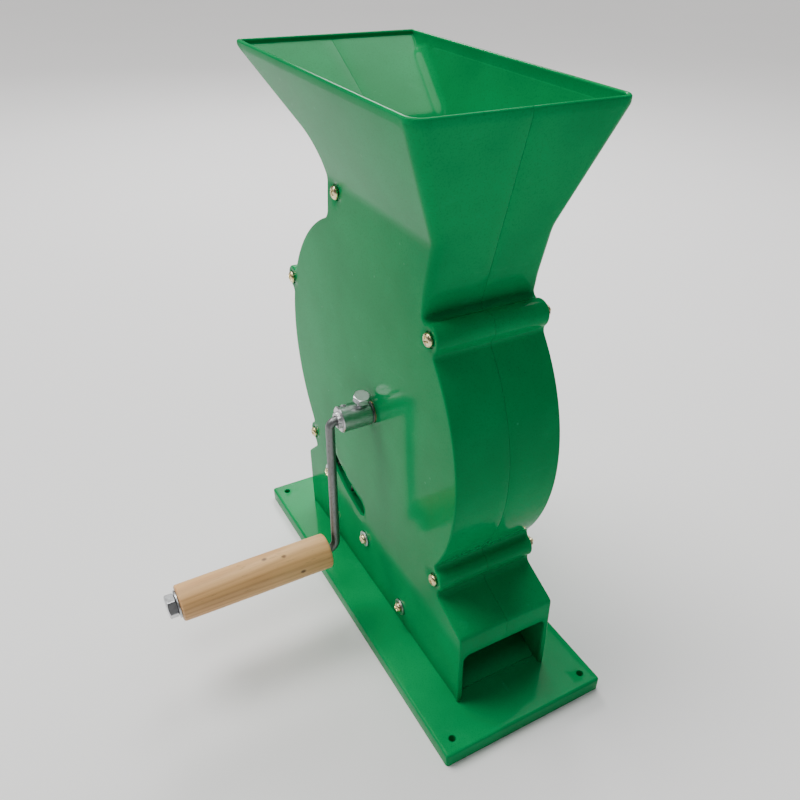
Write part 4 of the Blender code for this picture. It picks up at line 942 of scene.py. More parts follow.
def addMouth(skin, rows, side):          # half of the outlet, through the right foot's wall
    run = housingRuns()["footRight"]
    footRuns = {"outer": run, "inner": shifted(run, -h["wall"])}

    def footWall(points, kind):          # out + height to a place on the foot's wall
        x = onLine(footRuns[kind], points.imag).real
        if kind == "outer":
            x = x - footEasing(points.imag)
        return np.stack([x, side * points.real, points.imag], -1)

    edge, mouth = h["outletEdge"], []
    for turn in np.linspace(0, np.pi / 2, 6):
        wall = footWall(mouthPath(edge * (1 - math.sin(turn))), "outer")
        wall[:, 0] -= edge * (1 - math.cos(turn))
        mouth.append(wall)
    mouth.append(footWall(mouthPath(0), "inner"))
    mouth = np.array(mouth)
    skin.sheet(mouth)
    for kind, grow in (("outer", edge), ("inner", 0.0)):
        _, right, stub = rows[kind]
        upper = right[1][:filletRow + 1, -1] + 1j * h["split"]
        down = stub[1][filletRow, 1:] + 1j * stub[0][filletRow, 1:].imag
        where, faces = fill([np.concatenate([upper, down, mouthPath(grow)[::-1]])], 6.0)
        skin.add(footWall(where, kind), faces)
    return mouth


def addParting(skin, put, rows, holes, lip, mouth):
    # The plane where the halves meet, left and right of the hopper's mouth.
    outer, inner = rows["outer"], rows["inner"]
    flatLip = lip[:, :, 0] + 1j * lip[:, :, 2]
    flatMouth = mouth[:, 0, 0] + 1j * mouth[:, 0, 2]
    left = [outer[0][0][0], flatLip[1:-1, 0], inner[0][0][0, ::-1]]
    right = [outer[1][0][0], flatMouth, inner[1][0][0, ::-1], flatLip[1:-1, -1][::-1]]
    for parts in (left, right):
        loop = np.concatenate(parts)
        within = [hole for hole in holes if inside(hole[:1], loop)[0]]
        where, faces = fill([loop] + within, 0)
        skin.add(put(where, np.full(len(where), h["gap"])), faces)


def addUnderside(skin, rows, bottoms, mouth, side):
    # The foot's lower edge in plan, as X + i times the distance out.
    outer, inner = rows["outer"], rows["inner"]

    def plan(levels, column, taken=slice(None)):
        return levels[0][taken, column].real + 1j * levels[1][taken, column]

    def planLine(line, face):
        return line.real + 1j * face(line.imag)

    lower = slice(filletRow, None)
    underMouth = mouth[:, -1, 0] + 1j * side * mouth[:, -1, 1]
    loop = np.concatenate([
        plan(outer[0], 0), planLine(bottoms["outer"], outerFace)[::-1],
        plan(outer[2], -1, lower)[::-1], underMouth, plan(inner[2], -1, lower),
        planLine(bottoms["inner"], innerFace), plan(inner[0], 0)[::-1]])
    where, faces = fill([loop])
    skin.add(np.stack([where.real, side * where.imag, np.full(len(where), floorHeight)], -1), faces)


def makeHousing(name, node, side):
    skin, put = Skin(), facing(side)
    rows = addWalls(skin, put)
    ends = addHoles(skin, put)
    if side < 0:
        addSlot(skin, put, ends)
    tops, bottoms = addFaces(skin, put, rows, ends)
    lip = addRim(skin, put, rows, tops)
    mouth = addMouth(skin, rows, side)
    addParting(skin, put, rows, ends["parting"], lip, mouth)
    addUnderside(skin, rows, bottoms, mouth, side)
    keep(skin, name, node)


makeHousing("housingFront", "housing_front", -1)
makeHousing("housingBack", "housing_back", 1)
print("housing")


# Base plate

plate = {"cornerRound": 2.6, "topEdge": 2.0, "underEdge": 0.8, "hole": 2.75, "holeEdge": 0.4,
         "insetX": 12.0, "insetY": 11.5, "sink": 4.9, "shank": 2.5, "sinkDeep": 2.6, "sinkLand": 0.3}


def boxCorners(low, high):               # a node's four corners in plan
    return [low[0] + 1j * low[1], high[0] + 1j * low[1], high[0] + 1j * high[1], low[0] + 1j * high[1]]


def makeBasePlate():
    # A rounded rectangle with four plain holes, and four more that widen downwards in a cone.
    low, high = boxOf("base_plate")
    corners = boxCorners(low, high)
    points, normals = eased([(c, plate["cornerRound"]) for c in corners], True, 6, 12)
    loops = [(points, -normals, edgeProfile(low[2], high[2], plate["underEdge"], plate["topEdge"], 6))]
    holeEdge = edgeProfile(low[2], high[2], plate["holeEdge"], plate["holeEdge"])
    for corner in corners:
        reach = corner - (low[0] + high[0]) / 2 - 1j * (low[1] + high[1]) / 2
        at = corner - np.sign(reach.real) * plate["insetX"] - 1j * np.sign(reach.imag) * plate["insetY"]
        loops.append((*circle(at, plate["hole"], 32, True), holeEdge))
    cone = plate["sink"] - plate["shank"]
    sinking = np.array([(cone, low[2]), (cone, low[2] + plate["sinkLand"]),
                        (0, low[2] + plate["sinkDeep"]), (0, high[2])])
    for number in (1, 2, 3, 4):
        place = centreOf(f"foot_screw_{number}")
        loops.append((*circle(place[0] + 1j * place[1], plate["shank"], 32, True), sinking))
    skin = Skin()
    slab(skin, loops, planView, 16)
    keep(skin, "basePlate", "base_plate")


makeBasePlate()
print("base plate")


# Screws, nuts and washers

def crossRecess(across, reach, deep):    # a pressed cross, deepest in the middle
    def shape(radius, along, turn):
        x, y = np.abs(radius * np.cos(turn)), np.abs(radius * np.sin(turn))
        arm = np.minimum(np.maximum(x / across, y / reach), np.maximum(y / across, x / reach))
        depth = deep * (1 - 0.55 * np.clip(radius / reach, 0, 1)) * (1 - smooth(0.75, 1.15, arm))
        return radius, along - np.where(along > 0, depth, 0)
    return shape


def threaded(low, high, pitch, deep):    # a saw-tooth that climbs with the turn
    def shape(radius, along, turn):
        phase = (along / pitch - turn / (2 * np.pi)) % 1
        tooth = deep * np.abs(2 * phase - 1)
        within = smooth(low, low + pitch, along) * (1 - smooth(high - pitch, high, along))
        return radius - tooth * within * (radius > 1), along
    return shape


def panHead(skin, size, origin, out, spin):
    # A shank, a flat seat and a domed head, turned as one profile.
    shank, head, high = size["shank"], size["head"], size["high"]
    length, threadTo = size["length"], size["threadTo"]
    fine = np.linspace(-length + 1, threadTo, max(2, int((length - 1 + threadTo) / 0.12)))
    lower = [(0, -length), (shank * 0.55, -length), (shank, -length + 1)]
    side = [(shank, 0), (head - 0.25, 0), (head - 0.06, 0.1), (head, 0.3), (head, 0.28 * high)]
    dome = [(head * math.cos(a), high * (0.28 + 0.72 * math.sin(a))) for a in np.linspace(0.12, 0.75, 7)]
    last, top = dome[-1]
    inner = [(r, top + (high - top) * (1 - (r / last) ** 2)) for r in np.linspace(last, 0, 30)[1:]]
    profile = np.array(lower + [(shank, d) for d in fine] + side + dome + inner)
    recess = crossRecess(size["cross"], head * 0.62, high * 0.62)
    thread = threaded(-length, threadTo, size["pitch"], shank * 0.16)

    def shape(radius, along, turn):
        radius, along = thread(radius, along, turn)
        return recess(radius, along, turn + spin)
    lathe(skin, profile, origin, out, 56, shape=shape)


hexagon = {"cornerCut": 0.985, "coneSlope": 0.55, "faceShare": 0.95, "edge": 0.15}


def hexagonal(skin, across, low, high, origin, out, bore=0.0, sides=72, chamferLow=True, spin=0.0):
    # Six flats, with their ends cut back by a cone: at each angle the flat's radius is half
    # the width over the cosine, and the cone's height falls with that radius.
    turn = np.linspace(0, 2 * np.pi, sides, endpoint=False)
    flat, edge = across / 2, hexagon["edge"]
    around = (turn + spin + np.pi / 6) % (np.pi / 3) - np.pi / 6
    radius = np.minimum(flat / np.cos(around), flat / math.cos(math.pi / 6) * hexagon["cornerCut"])
    cone, face = (radius - flat) * hexagon["coneSlope"], flat * hexagon["faceShare"]
    if chamferLow:
        levels = [(bore, low), (face, low), (radius, low + cone + edge)]
    else:
        levels = [(bore, low), (radius - edge, low), (radius, low + edge)]
    levels += [(radius, high - cone - edge), (face, high), (bore + 0.2 if bore else 0, high)]
    if bore:
        levels.append((bore, high - 0.3))
    r, d = (np.array([np.broadcast_to(level[k], sides) for level in levels]) for k in (0, 1))
    local = np.stack([r * np.cos(turn), r * np.sin(turn), d], -1)
    skin.sheet(placed(local, origin, out), closeRows=bool(bore), closeCols=True)


clamp = {"shank": 2.4, "head": 4.7, "high": 3.3, "threadTo": -62.0, "cross": 0.75, "pitch": 1.0,
         "nutAcross": 8.0, "nutThick": 4.0}
sideScrew = {"shank": 2.2, "head": 4.4, "high": 3.0, "threadTo": -3.0, "cross": 0.7, "pitch": 1.4,
             "washer": 7.4, "washerThick": 1.2, "washerGap": 0.3, "washerEdge": 0.3, "washerBore": 2.5}
footScrew = {"shank": 2.2, "cone": 2.6, "edge": 0.2, "thread": 2.0, "cross": 0.8, "crossDeep": 1.8}
front, back = (0, -1, 0), (0, 1, 0)


def title(name):
    return "".join(word.capitalize() for word in name.split("_"))


def makeClampScrews():
    for number, name in enumerate(("neck",) + lobeNames):
        low, high = boxOf("clamp_screw_" + name)
        middle = (low + high) / 2
        seat = low[1] + clamp["high"]
        size = dict(clamp, length=high[1] - seat)
        skin = Skin()
        panHead(skin, size, (middle[0], seat, middle[2]), front, 0.5 + 0.83 * number)
        keep(skin, "clampScrew" + title(name), "clamp_screw_" + name)
        low, high = boxOf("clamp_nut_" + name)
        skin = Skin()
        hexagonal(skin, clamp["nutAcross"], 0, clamp["nutThick"], (middle[0], low[1], middle[2]), back,
                  clamp["shank"] + 0.2, spin=0.4 * number)
        keep(skin, "clampNut" + title(name), "clamp_nut_" + name, 22)


def makeSideScrews():
    number = 0
    for face, out in (("front", -1), ("back", 1)):
        for name in ("upper", "middle", "lower", "block"):
            low, high = boxOf(f"side_screw_{face}_{name}")
            middle = (low + high) / 2
            top = max(out * low[1], out * high[1])
            seat = top - sideScrew["high"]
            size = dict(sideScrew, length=high[1] - low[1] - sideScrew["high"])
            skin = Skin()
            panHead(skin, size, (middle[0], out * seat, middle[2]), (0, out, 0), 0.3 + 0.77 * number)
            keep(skin, f"sideScrew{title(face)}{title(name)}", f"side_screw_{face}_{name}")
            under = seat - sideScrew["washerThick"] - sideScrew["washerGap"]
            over = under + sideScrew["washerThick"]
            bore, rim, edge = sideScrew["washerBore"], sideScrew["washer"], sideScrew["washerEdge"]
            ringed = section([(bore, under, 0.15), (rim, under, 0.15), (rim, over, edge),
                              (bore, over, 0.2)])
            skin = Skin()
            lathe(skin, ringed, (middle[0], 0, middle[2]), (0, out, 0), closed=True)
            keep(skin, f"sideWasher{title(face)}{title(name)}", f"side_washer_{face}_{name}")
            number += 1


def makeFootScrews():                    # countersunk, heads down
    shank = footScrew["shank"]
    for number in (1, 2, 3, 4):
        low, high = boxOf(f"foot_screw_{number}")
        middle = (low + high) / 2
        wide, long = (high[0] - low[0]) / 2, high[2] - low[2]
        rows = np.linspace(long - footScrew["thread"], footScrew["cone"], 60)
        inner = [(r, 0.001) for r in np.linspace(wide - 0.25, 0, 24)]
        thread = [(shank, -d) for d in rows]
        profile = np.array([(0, -long)] + thread + [(wide, -footScrew["edge"])] + inner)
        recess = crossRecess(footScrew["cross"], wide * 0.6, footScrew["crossDeep"])
        skin = Skin()
        lathe(skin, profile, (middle[0], middle[1], low[2]), (0, 0, -1), 48, shape=recess)
        keep(skin, f"footScrew{number}", f"foot_screw_{number}")


makeClampScrews()
makeSideScrews()
makeFootScrews()
print("screws, nuts and washers")


# Shaft, bushes and rotor

turned = {"shaftEdge": 0.8, "grooveDeep": 0.8, "grooveClear": 0.3, "running": 0.15, "bushWall": 3.0,
          "flange": 1.5, "bushEdge": 0.4, "bore": 0.3, "waistHalf": 5.0, "waistDeep": 1.5}


def makeTurnedParts():                   # each is a (radius, distance) section turned on the shaft
    low, high = boxOf("shaft")
    axis = (shaftAt[0], 0, shaftAt[2])
    r = (high[0] - low[0]) / 2
    edge, groove = turned["shaftEdge"], r - turned["grooveDeep"]
    clipLow, clipHigh = boxOf("retaining_clip")
    near, far = clipLow[1] - turned["grooveClear"], clipHigh[1] + turned["grooveClear"]
    profile = section([(0, low[1], 0), (r, low[1], edge), (r, near, 0.05), (groove, near, 0.1),
                       (groove, far, 0.1), (r, far, 0.05), (r, high[1], edge), (0, high[1], 0)],
                      closed=False)
    skin = Skin()
    lathe(skin, profile, axis, back)
    keep(skin, "driveShaft", "shaft")
    clear, edge = r + turned["bore"], turned["bushEdge"]
    for name, out in (("front", -1), ("back", 1)):
        low, high = boxOf("bush_" + name)
        near, far = sorted((abs(low[1]), abs(high[1])))
        wide, bore = (high[0] - low[0]) / 2, r + turned["running"]
        body, step = bore + turned["bushWall"], near + turned["flange"]
        skin = Skin()
        lathe(skin, section([(bore, near, edge), (wide, near, edge), (wide, step, edge),
                             (body, step, 0.1), (body, far, 0.5), (bore, far, edge)]),
              axis, (0, out, 0), closed=True)
        keep(skin, "bush" + title(name), "bush_" + name)
        low, high = boxOf("thrust_washer_" + name)
        near, far = sorted((abs(low[1]), abs(high[1])))
        wide = (high[0] - low[0]) / 2
        skin = Skin()
        lathe(skin, section([(clear, near, 0.1), (wide, near, 0.15), (wide, far, 0.25),
                             (clear, far, 0.15)]), axis, (0, out, 0), closed=True)
        keep(skin, "thrustWasher" + title(name), "thrust_washer_" + name)
    low, high = boxOf("rotor_hub")
    half, wide = high[1], (high[0] - low[0]) / 2
    waist, soft = turned["waistHalf"], turned["waistDeep"]
    skin = Skin()
    lathe(skin, section([(clear, -half, 0.5), (wide, -half, 1.2), (wide, -waist - 1, soft),
                         (wide - soft, -waist, soft), (wide - soft, waist, soft),
                         (wide, waist + 1, soft), (wide, half, 1.2), (clear, half, 0.5)]),
          axis, front, closed=True)
    keep(skin, "rotorHubCast", "rotor_hub")


clip = {"opening": 70, "inner": 5.5, "taper": 1.6, "edge": 0.15}


def makeClip():                          # an open ring, widest opposite its opening
    low, high = boxOf("retaining_clip")
    centre = shaftAt[0] + 1j * shaftAt[2]
    half = math.radians(clip["opening"] / 2)
    turn = np.linspace(half, 2 * np.pi - half, 60)
    spokes = np.exp(1j * (turn - np.pi / 2))
    wide = (high[0] - low[0]) / 2 - clip["taper"] * np.cos(turn / 2) ** 2
    points = np.concatenate([centre + wide * spokes, centre + clip["inner"] * spokes[::-1]])
    way = np.roll(points, -1) - np.roll(points, 1)
    profile = edgeProfile(low[1], high[1], clip["edge"], clip["edge"], 2)
    skin = Skin()
    slab(skin, [(points, -1j * unit(way), profile)], frontView)
    keep(skin, "retainingClip", "retaining_clip")


rotor = {"bars": 4, "bore": 6.3, "window": 15.0, "windowAt": 50.0, "edge": 0.6,
         "barInner": 80.0, "barOuter": 92.0, "barWidth": 16.0, "barEdge": 0.4,
         "teeth": 8, "toothDeep": 4.0, "toothEdge": 0.7, "valleyEdge": 0.6, "crown": (0.35, 0.65)}


def makeRotor():
    # Two discs with round windows, and toothed bars drawn as radius + i times the distance
    # along the shaft.
    centre = shaftAt[0] + 1j * shaftAt[2]
    for name in ("front", "back"):
        low, high = boxOf("rotor_disc_" + name)
        profile = edgeProfile(low[1], high[1], rotor["edge"], rotor["edge"])
        loops = [(*circle(centre, (high[0] - low[0]) / 2, 160), profile),
                 (*circle(centre, rotor["bore"], 48, True), profile)]
        for number in range(rotor["bars"]):
            at = centre + rotor["windowAt"] * np.exp(2j * np.pi * number / rotor["bars"])
            loops.append((*circle(at, rotor["window"], 64, True), profile))
        skin = Skin()
        slab(skin, loops, frontView, 14)
        keep(skin, "rotorDisc" + title(name), "rotor_disc_" + name)
    half = boxOf("rasp_bar_1")[1][1]
    pitch = 2 * half / rotor["teeth"]
    for number in range(rotor["bars"]):
        spoke = np.exp(-1j * np.pi * (2 * number + 1) / rotor["bars"])
        corners = [(rotor["barInner"] + 1j * half, 1.0), (rotor["barInner"] - 1j * half, 1.0)]
        valley = rotor["barOuter"] - rotor["toothDeep"]
        for tooth in range(rotor["teeth"]):
            start = -half + tooth * pitch
            corners.append((valley + 1j * start, rotor["valleyEdge"]))
            corners += [(rotor["barOuter"] + 1j * (start + share * pitch), rotor["toothEdge"])
                        for share in rotor["crown"]]
        corners.append((valley + 1j * half, rotor["valleyEdge"]))
        points, normals = eased(corners, True, 4)
        wide = rotor["barWidth"] / 2
        profile = edgeProfile(-wide, wide, rotor["barEdge"], rotor["barEdge"])

        def put(flat, across):           # radius + distance along Y, and the bar's width
            place = centre + spoke * (flat.real + 1j * across)
            return np.stack([place.real, flat.imag, place.imag], -1)
        skin = Skin()
        slab(skin, [(points, -normals, profile)], put)
        keep(skin, f"raspBar{number + 1}", f"rasp_bar_{number + 1}")


makeTurnedParts()
makeClip()
makeRotor()
print("shaft and rotor")


# Concave, chute and block

concave = {"inner": 113.5, "thick": 3.0, "rib": 9.5, "ribThick": 3.0, "ribInset": 0.1, "ribRound": 0.6,
           "flange": 131.0, "from": 210.0, "to": 330.0, "bays": 9, "bar": 2.6, "edge": 4.5,
           "round": 1.5, "easing": 0.4}


def makeConcave():
    # The slotted sheet is drawn flat, arc length along and Y across, and rolled on its radius.
    low, high = boxOf("concave")
    half, inner = high[1], concave["inner"]
    first, last = math.radians(concave["from"]), math.radians(concave["to"])
    length = inner * (last - first)

    def rolled(flat, height):            # height outwards from the inner face
        place = h["drum"] + (inner + height) * np.exp(1j * (first + flat.real / inner))
        return np.stack([place.real, flat.imag, place.imag], -1)

    profile = edgeProfile(0, concave["thick"], concave["easing"], concave["easing"], 3)
    corners = [-1j * half, length - 1j * half, length + 1j * half, 1j * half]
    points, normals = eased([(c, 1.0) for c in corners], True, 4, 3.5)
    loops = [(points, -normals, profile)]
    bay = (length - concave["ribThick"]) / concave["bays"]
    window = (bay - concave["ribThick"] - 3 * concave["bar"]) / 2
    for number in range(concave["bays"]):
        start = number * bay + concave["ribThick"] + concave["bar"]
        for along in (start, start + window + concave["bar"]):
            for sign in (-1, 1):
                y0, y1 = sorted((sign * concave["bar"], sign * (half - concave["edge"])))
                box = [along + 1j * y0, along + window + 1j * y0,
                       along + window + 1j * y1, along + 1j * y1]
                points, normals = eased([(c, concave["round"]) for c in box], True, 3, 4)
                loops.append((points, normals, profile))
    skin = Skin()
    slab(skin, loops, rolled, 5)
    for number in range(concave["bays"] + 1):
        atEnd = number in (0, concave["bays"])
        reach = concave["flange"] - inner if atEnd else concave["thick"] + concave["rib"]
        start = number * bay + concave["ribInset"]
        stop = number * bay + concave["ribThick"] - concave["ribInset"]
        box = [start - 1j * half, stop - 1j * half, stop + 1j * half, start + 1j * half]
        points, normals = eased([(c, concave["ribRound"]) for c in box], True, 3, 8)
        slab(skin, [(points, -normals, edgeProfile(concave["thick"] * 0.5, reach, 0.1, 0.5, 3))], rolled)
    keep(skin, "slottedConcave", "concave")


chute = {"slope": 0.375, "end": 137.0, "thick": 3.0, "lugHalf": 7.0, "lugDeep": 11.0, "lugHole": 2.5,
         "lugInset": 0.3, "round": 0.8, "easing": 0.25, "heelGap": 0.3}
footBlock = {"cornerRound": 2.0, "underEdge": 0.5, "topEdge": 1.5}


def makeChute():
    # A sloping plate drawn in front view, and six lugs under it that the side screws hold.
    low, high = boxOf("chute")
    plateTop = boxOf("base_plate")[1][2]
    lug, soft = chute["lugHalf"], chute["round"]

    def surface(x):
        return plateTop + chute["slope"] * (chute["end"] - x)

    down = chute["thick"] * math.hypot(1, chute["slope"])
    heel = chute["end"] - (down + chute["heelGap"]) / chute["slope"]
    corners = [(low[0] + 1j * surface(low[0]), soft), (high[0] + 1j * surface(high[0]), 0.35),
               (high[0] + 1j * low[2], 0.3), (heel + 1j * low[2], 1.5),
               (low[0] + 1j * (surface(low[0]) - down), soft)]
    points, normals = eased(corners, True, 5, 10)
    profile = edgeProfile(low[1], high[1], chute["easing"], chute["easing"])
    skin = Skin()
    slab(skin, [(points, normals, profile)], frontView)
    for name in ("upper", "middle", "lower"):
        at = frontPlace("side_screw_front_" + name)
        left, right = at.real - lug, at.real + lug
        box = [left + 1j * (surface(left) - down / 2), right + 1j * (surface(right) - down / 2),
               right + 1j * (at.imag - lug), left + 1j * (at.imag - lug)]
        points, normals = eased([(c, soft) for c in box], True, 4)
        for sign in (-1, 1):
            y0, y1 = sorted((sign * (high[1] - chute["lugInset"]), sign * (high[1] - chute["lugDeep"])))
            slab(skin, [(points, normals, edgeProfile(y0, y1, 0.5, 0.5)),
                        (*circle(at, chute["lugHole"], 24, True), edgeProfile(y0, y1, 0.2, 0.2))],
                 frontView)
    keep(skin, "kernelChute", "chute")


def makeFootBlock():
    low, high = boxOf("foot_block")
    rounded = [(c, footBlock["cornerRound"]) for c in boxCorners(low, high)]
    points, normals = eased(rounded, True, 5, 10)
    profile = edgeProfile(low[2], high[2], footBlock["underEdge"], footBlock["topEdge"])
    skin = Skin()
    slab(skin, [(points, -normals, profile)], planView)
    keep(skin, "footBlock", "foot_block")


makeConcave()
makeChute()
makeFootBlock()
print("concave, chute and block")


# Crank

crank = {"collar": 10.0, "collarLength": 24.4, "chamfer": 0.8, "bore": 6.3, "nose": 6.5,
         "noseLength": 2.5, "noseRound": 0.9, "rodSocket": 8.0, "rodGap": 0.3, "weld": 0.35,
         "boltFrom": 7.0, "boltLean": 14.5, "boltShank": 3.0, "boltNeck": 4.5, "boltAcross": 11.5,
         "boltHigh": 5.0, "boltTip": 6.3, "boltSink": 1.0, "boltPitch": 1.0,
         "grubFromEnd": 4.5, "grub": 2.6, "grubSink": 2.2, "grubTip": 3.9, "grubTop": 8.4,
         "rod": 3.5, "radius": 124.0, "rodOut": 7.3, "splay": 2.8, "kneeTop": 5.0, "kneeBottom": 8.0,
         "rodEdge": 0.9}
lean = math.radians(crank["boltLean"])
boltWay = (math.sin(lean), 0, math.cos(lean))


def leaning(distance, along):            # a place on the collar's leaning screw line
    return (shaftAt[0] + distance * boltWay[0], -along, shaftAt[2] + distance * boltWay[2])


def makeCollar():
    low, high = boxOf("crank_collar")
    start = -high[1]
    end = start + crank["collarLength"]
    r, cut, bore, nose = crank["collar"], crank["chamfer"], crank["bore"], crank["nose"]
    grubAt, boltAt = end - crank["grubFromEnd"], start + crank["boltFrom"]
    sinks = ((grubAt, crank["grub"], crank["grubSink"]),
             (boltAt, crank["boltShank"] + 0.35, crank["boltSink"]))

    def shape(radius, along, turn):
        # Screw holes sunk into the side, and a weld bead rippled by a sine of the turn.
        for at, wide, deep in sinks:
            gap = np.abs((turn - lean + np.pi / 2) % (2 * np.pi) - np.pi) * r
            away = np.hypot(gap, along - at)
            sunk = deep * (1 - smooth(wide - 0.15, wide + 0.2, away))
            radius = radius - np.where(radius > r - 0.1, sunk, 0)
        bead = smooth(end + 0.1, end + 0.8, along) * (radius < r - 1)
        ripple = 0.5 + 0.5 * np.sin(turn * 17 + np.sin(turn * 3) * 2)
        return radius + bead * crank["weld"] * ripple, along

    tip, socket = end + crank["noseLength"], end - crank["rodSocket"]
    hole = crank["rod"] + crank["rodGap"]
    profile = section([(bore, start, 0.3), (r - cut, start, 0.1), (r, start + cut, 0.3)], closed=False)
    body = np.array([(r, d) for d in np.arange(start + cut + 0.4, end - cut - 0.3, 0.25)])
    tail = section([(r, end - cut, 0), (r - cut, end, 0.3), (nose, end, 0.6),
                    (nose - 0.8, tip, crank["noseRound"]), (hole, tip, 0), (hole, socket, 0),
                    (bore, socket, 0), (bore, start, 0)], closed=False)
    skin = Skin()
    lathe(skin, np.concatenate([profile[:-1], body, tail[:-1]]), (shaftAt[0], 0, shaftAt[2]), front,
          256, closed=True, shape=shape)
    keep(skin, "crankCollar", "crank_collar", 40)
    foot, head = leaning(0, boltAt), r + crank["boltNeck"]
    shank, tip = crank["boltShank"], crank["boltTip"]
    rows = np.linspace(tip + 0.2, head + 0.5, 90)
    profile = np.array([(0, tip), (shank - 0.5, tip)] + [(shank, d) for d in rows] + [(0, head + 0.5)])
    skin = Skin()
    lathe(skin, profile, foot, boltWay, 40, shape=threaded(5, head - 0.3, crank["boltPitch"], 0.5))
    hexagonal(skin, crank["boltAcross"], head, head + crank["boltHigh"], foot, boltWay,
              chamferLow=False, spin=0.2)
    keep(skin, "collarBolt", "collar_bolt", 22)
    tip, top = crank["grubTip"], crank["grubTop"]
    hexSocket = [(r, top - (2.0 if r < 1.1 else 0.0)) for r in np.linspace(2.1, 0, 12)]
    profile = np.array([(0, tip), (2.3, tip), (2.3, top - 0.2)] + hexSocket)
    skin = Skin()
    lathe(skin, profile, leaning(0, grubAt), boltWay, 36)
    keep(skin, "collarGrubScrew", "collar_grub_screw")


def makeRod():
    # A round section carried along a path with two bends; both ends are eased.
    low, high = boxOf("crank_rod")
    collarEnd = -boxOf("crank_collar")[1][1] + crank["collarLength"]
    top = collarEnd + crank["rodOut"]
    foot = top + crank["splay"]
    drop = -crank["radius"]
    corners = [(-high[1] + 0j, 0), (top + 0j, crank["kneeTop"]), (foot + 1j * drop, crank["kneeBottom"]),
               (-low[1] + 1j * drop, 0)]
    path, left = eased(corners, False, 14, 2.5)
    r, edge = crank["rod"], crank["rodEdge"]
    ease = np.array([0, 0.2, 0.5, edge])
    size = np.full(len(path), r)
    caps = r - edge + np.sqrt(edge ** 2 - (edge - ease) ** 2)
    start = path[0] + unit(path[1] - path[0]) * ease
    end = path[-1] + unit(path[-2] - path[-1]) * ease[::-1]
    path = np.concatenate([path[:1], start, path[1:-1], end, path[-1:]])
    left = np.concatenate([left[:1], np.full(4, left[0]), left[1:-1], np.full(4, left[-1]), left[-1:]])
    size = np.concatenate([[0.0], caps, size[1:-1], caps[::-1], [0.0]])
    turn = np.linspace(0, 2 * np.pi, 40, endpoint=False)
    flat = path[:, None] + left[:, None] * size[:, None] * np.cos(turn)
    across = size[:, None] * np.sin(turn)
    skin = Skin()
    skin.sheet(np.stack([shaftAt[0] + across, -flat.real, shaftAt[2] + flat.imag], -1), closeCols=True)
    keep(skin, "crankRod", "crank_rod")


grip = {"edge": 1.6, "belly": 0.25, "bore": 4.0, "boreEdge": 0.5, "lathe": 0.03, "wander": 0.06,
        "washerBore": 3.8, "washerEdge": 0.2}


def makeGrip():
    low, high = boxOf("grip")
    middle = (low + high) / 2
    start, end, r = -high[1], -low[1], (high[0] - low[0]) / 2
    outline = section([(grip["bore"], start, grip["boreEdge"]), (r, start, grip["edge"]),
                       (r, end, grip["edge"]), (grip["bore"], end, grip["boreEdge"])],
                      step=2.0, steps=7)
    axis = (middle[0], 0, middle[2])

    def shape(radius, along, turn):
        # Slimmer towards its ends by a parabola, a little oval, and with turned tool marks.
        share = (along - start) / (end - start)
        body = smooth(grip["bore"], r, radius)
        slim = grip["belly"] * (2 * share - 1) ** 2
        wander = grip["wander"] * np.sin(2 * turn + 3 * share) + grip["lathe"] * np.sin(along * 2.1)
        return radius - body * (slim + 0.1 + wander), along

    skin = Skin()
    lathe(skin, outline, axis, front, 128, closed=True, shape=shape)
    keep(skin, "woodenGrip", "grip")
    low, high = boxOf("grip_washer")
    r = (high[0] - low[0]) / 2
    skin = Skin()
    bore, edge = grip["washerBore"], grip["washerEdge"]
    lathe(skin, section([(bore, -high[1], edge), (r, -high[1], edge), (r, -low[1], 0.45),
                         (bore, -low[1], edge)]), axis, front, 96, closed=True)
    keep(skin, "gripWasher", "grip_washer")
    low, high = boxOf("grip_nut")
    wide, _, tall = high - low           # the smaller one is across the flats
    skin = Skin()
    hexagonal(skin, min(wide, tall), -high[1], -low[1], axis, front,
              spin=0.0 if tall > wide else math.pi / 6)
    keep(skin, "gripNut", "grip_nut", 22)


makeCollar()
makeRod()
makeGrip()
print("crank and grip")

# The hub's set screw keeps its own mesh
setScrew = frame["nodes"]["hub_set_screw"].data
setScrew.materials.clear()
setScrew.materials.append(finishes[slotOf["hub_set_screw"]])


# Floor, lights and camera

stage = {"floorSize": 14.0, "world": (0.80, 0.80, 0.82), "worldStrength": 0.13}


def makeStage():
    x = np.linspace(-stage["floorSize"] / 2, stage["floorSize"] / 2, 3)
    gridX, gridY = np.meshgrid(x, x)
    points = np.stack([gridX, gridY, np.zeros_like(gridX)], -1).reshape(-1, 3)
    mesh = bpy.data.meshes.new("floor")
    mesh.from_pydata(points.tolist(), [], gridFaces(3, 3, False, False).tolist())
    mesh.materials.append(paleFloor())
    floor = bpy.data.objects.new("floor", mesh)
    bpy.context.scene.collection.objects.link(floor)
    world = bpy.data.worlds.new("paleRoom")
    world.use_nodes = True
    shade = world.node_tree.nodes["Background"]
    shade.inputs["Color"].default_value = (*stage["world"], 1)
    shade.inputs["Strength"].default_value = stage["worldStrength"]
    bpy.context.scene.world = world


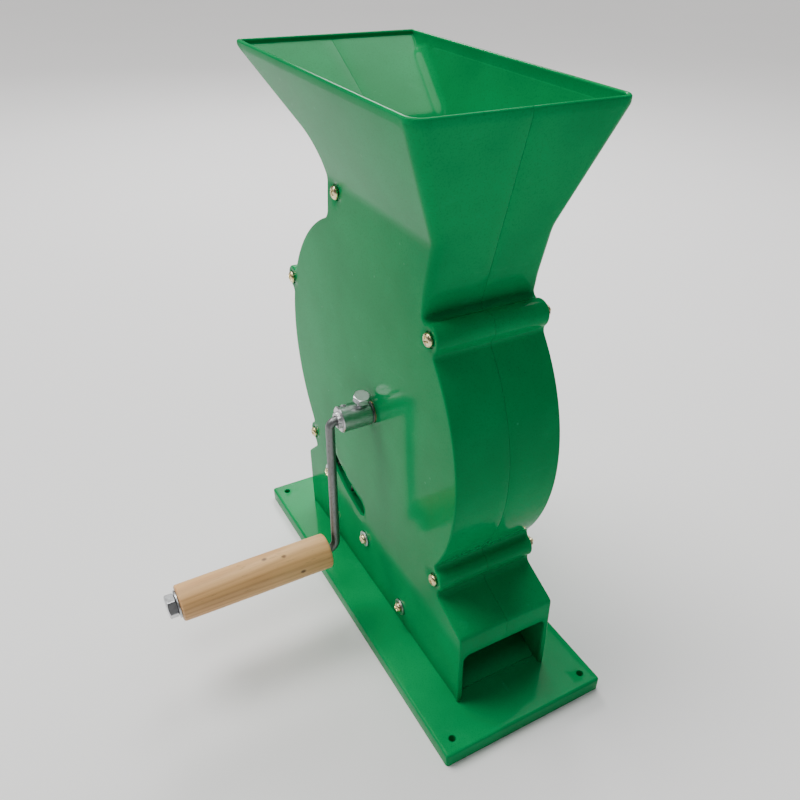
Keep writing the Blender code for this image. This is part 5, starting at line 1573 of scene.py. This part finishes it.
lights = {
    "sunLight": {"kind": "SUN", "at": (-0.9, -0.6, 2.6), "size": 0.6, "power": 2.7,
                 "colour": (1.0, 0.99, 0.97)},
    "backLight": {"kind": "AREA", "at": (-1.65, 0.5, 1.35), "size": 0.7, "power": 16,
                  "colour": (1.0, 1.0, 1.0)},
    "skyLight": {"kind": "AREA", "at": (-0.75, 0.85, 2.15), "size": 1.1, "power": 22,
                 "colour": (1.0, 1.0, 1.0)},
    "sideLight": {"kind": "AREA", "at": (0.9, -0.5, 2.4), "size": 0.8, "power": 9,
                  "colour": (1.0, 1.0, 1.0)},
    "frontLight": {"kind": "AREA", "at": (-1.2, -2.2, 1.9), "size": 1.3, "power": 15,
                   "colour": (0.97, 0.99, 1.0)},
}


def makeLights():
    aim = Vector((0, 0, 0.2))
    for name, value in lights.items():
        lamp = bpy.data.lights.new(name, value["kind"])
        if value["kind"] == "AREA":
            lamp.shape, lamp.size = "DISK", value["size"]
        else:
            lamp.angle = value["size"]
        lamp.energy, lamp.color = value["power"], value["colour"]
        thing = bpy.data.objects.new(name, lamp)
        bpy.context.scene.collection.objects.link(thing)
        thing.location = value["at"]
        thing.rotation_euler = (aim - Vector(value["at"])).to_track_quat("-Z", "Y").to_euler()


view = {"at": (0.4398, -0.2461, 0.5191), "turn": 58.55, "tilt": -37.6, "roll": 1.8, "lens": 34.0,
        "shift": (-0.049, 0.0895)}


def makeCamera():
    data = bpy.data.cameras.new("camera")
    data.lens, data.sensor_width = view["lens"], 36.0
    data.shift_x, data.shift_y = view["shift"]
    data.clip_start = 0.01
    camera = bpy.data.objects.new("camera", data)
    bpy.context.scene.collection.objects.link(camera)
    turn, tilt = math.radians(view["turn"]), math.radians(view["tilt"])
    ahead = Vector((-math.sin(turn) * math.cos(tilt), math.cos(turn) * math.cos(tilt), math.sin(tilt)))
    facing = ahead.to_track_quat("-Z", "Y").to_matrix().to_4x4()
    roll = Vector((0, 0, 1))
    spin = facing @ Matrix.Rotation(math.radians(view["roll"]), 4, roll)
    spin.translation = view["at"]
    camera.matrix_world = spin
    bpy.context.scene.camera = camera


makeStage()
makeLights()
makeCamera()
print("stage, lights and camera")
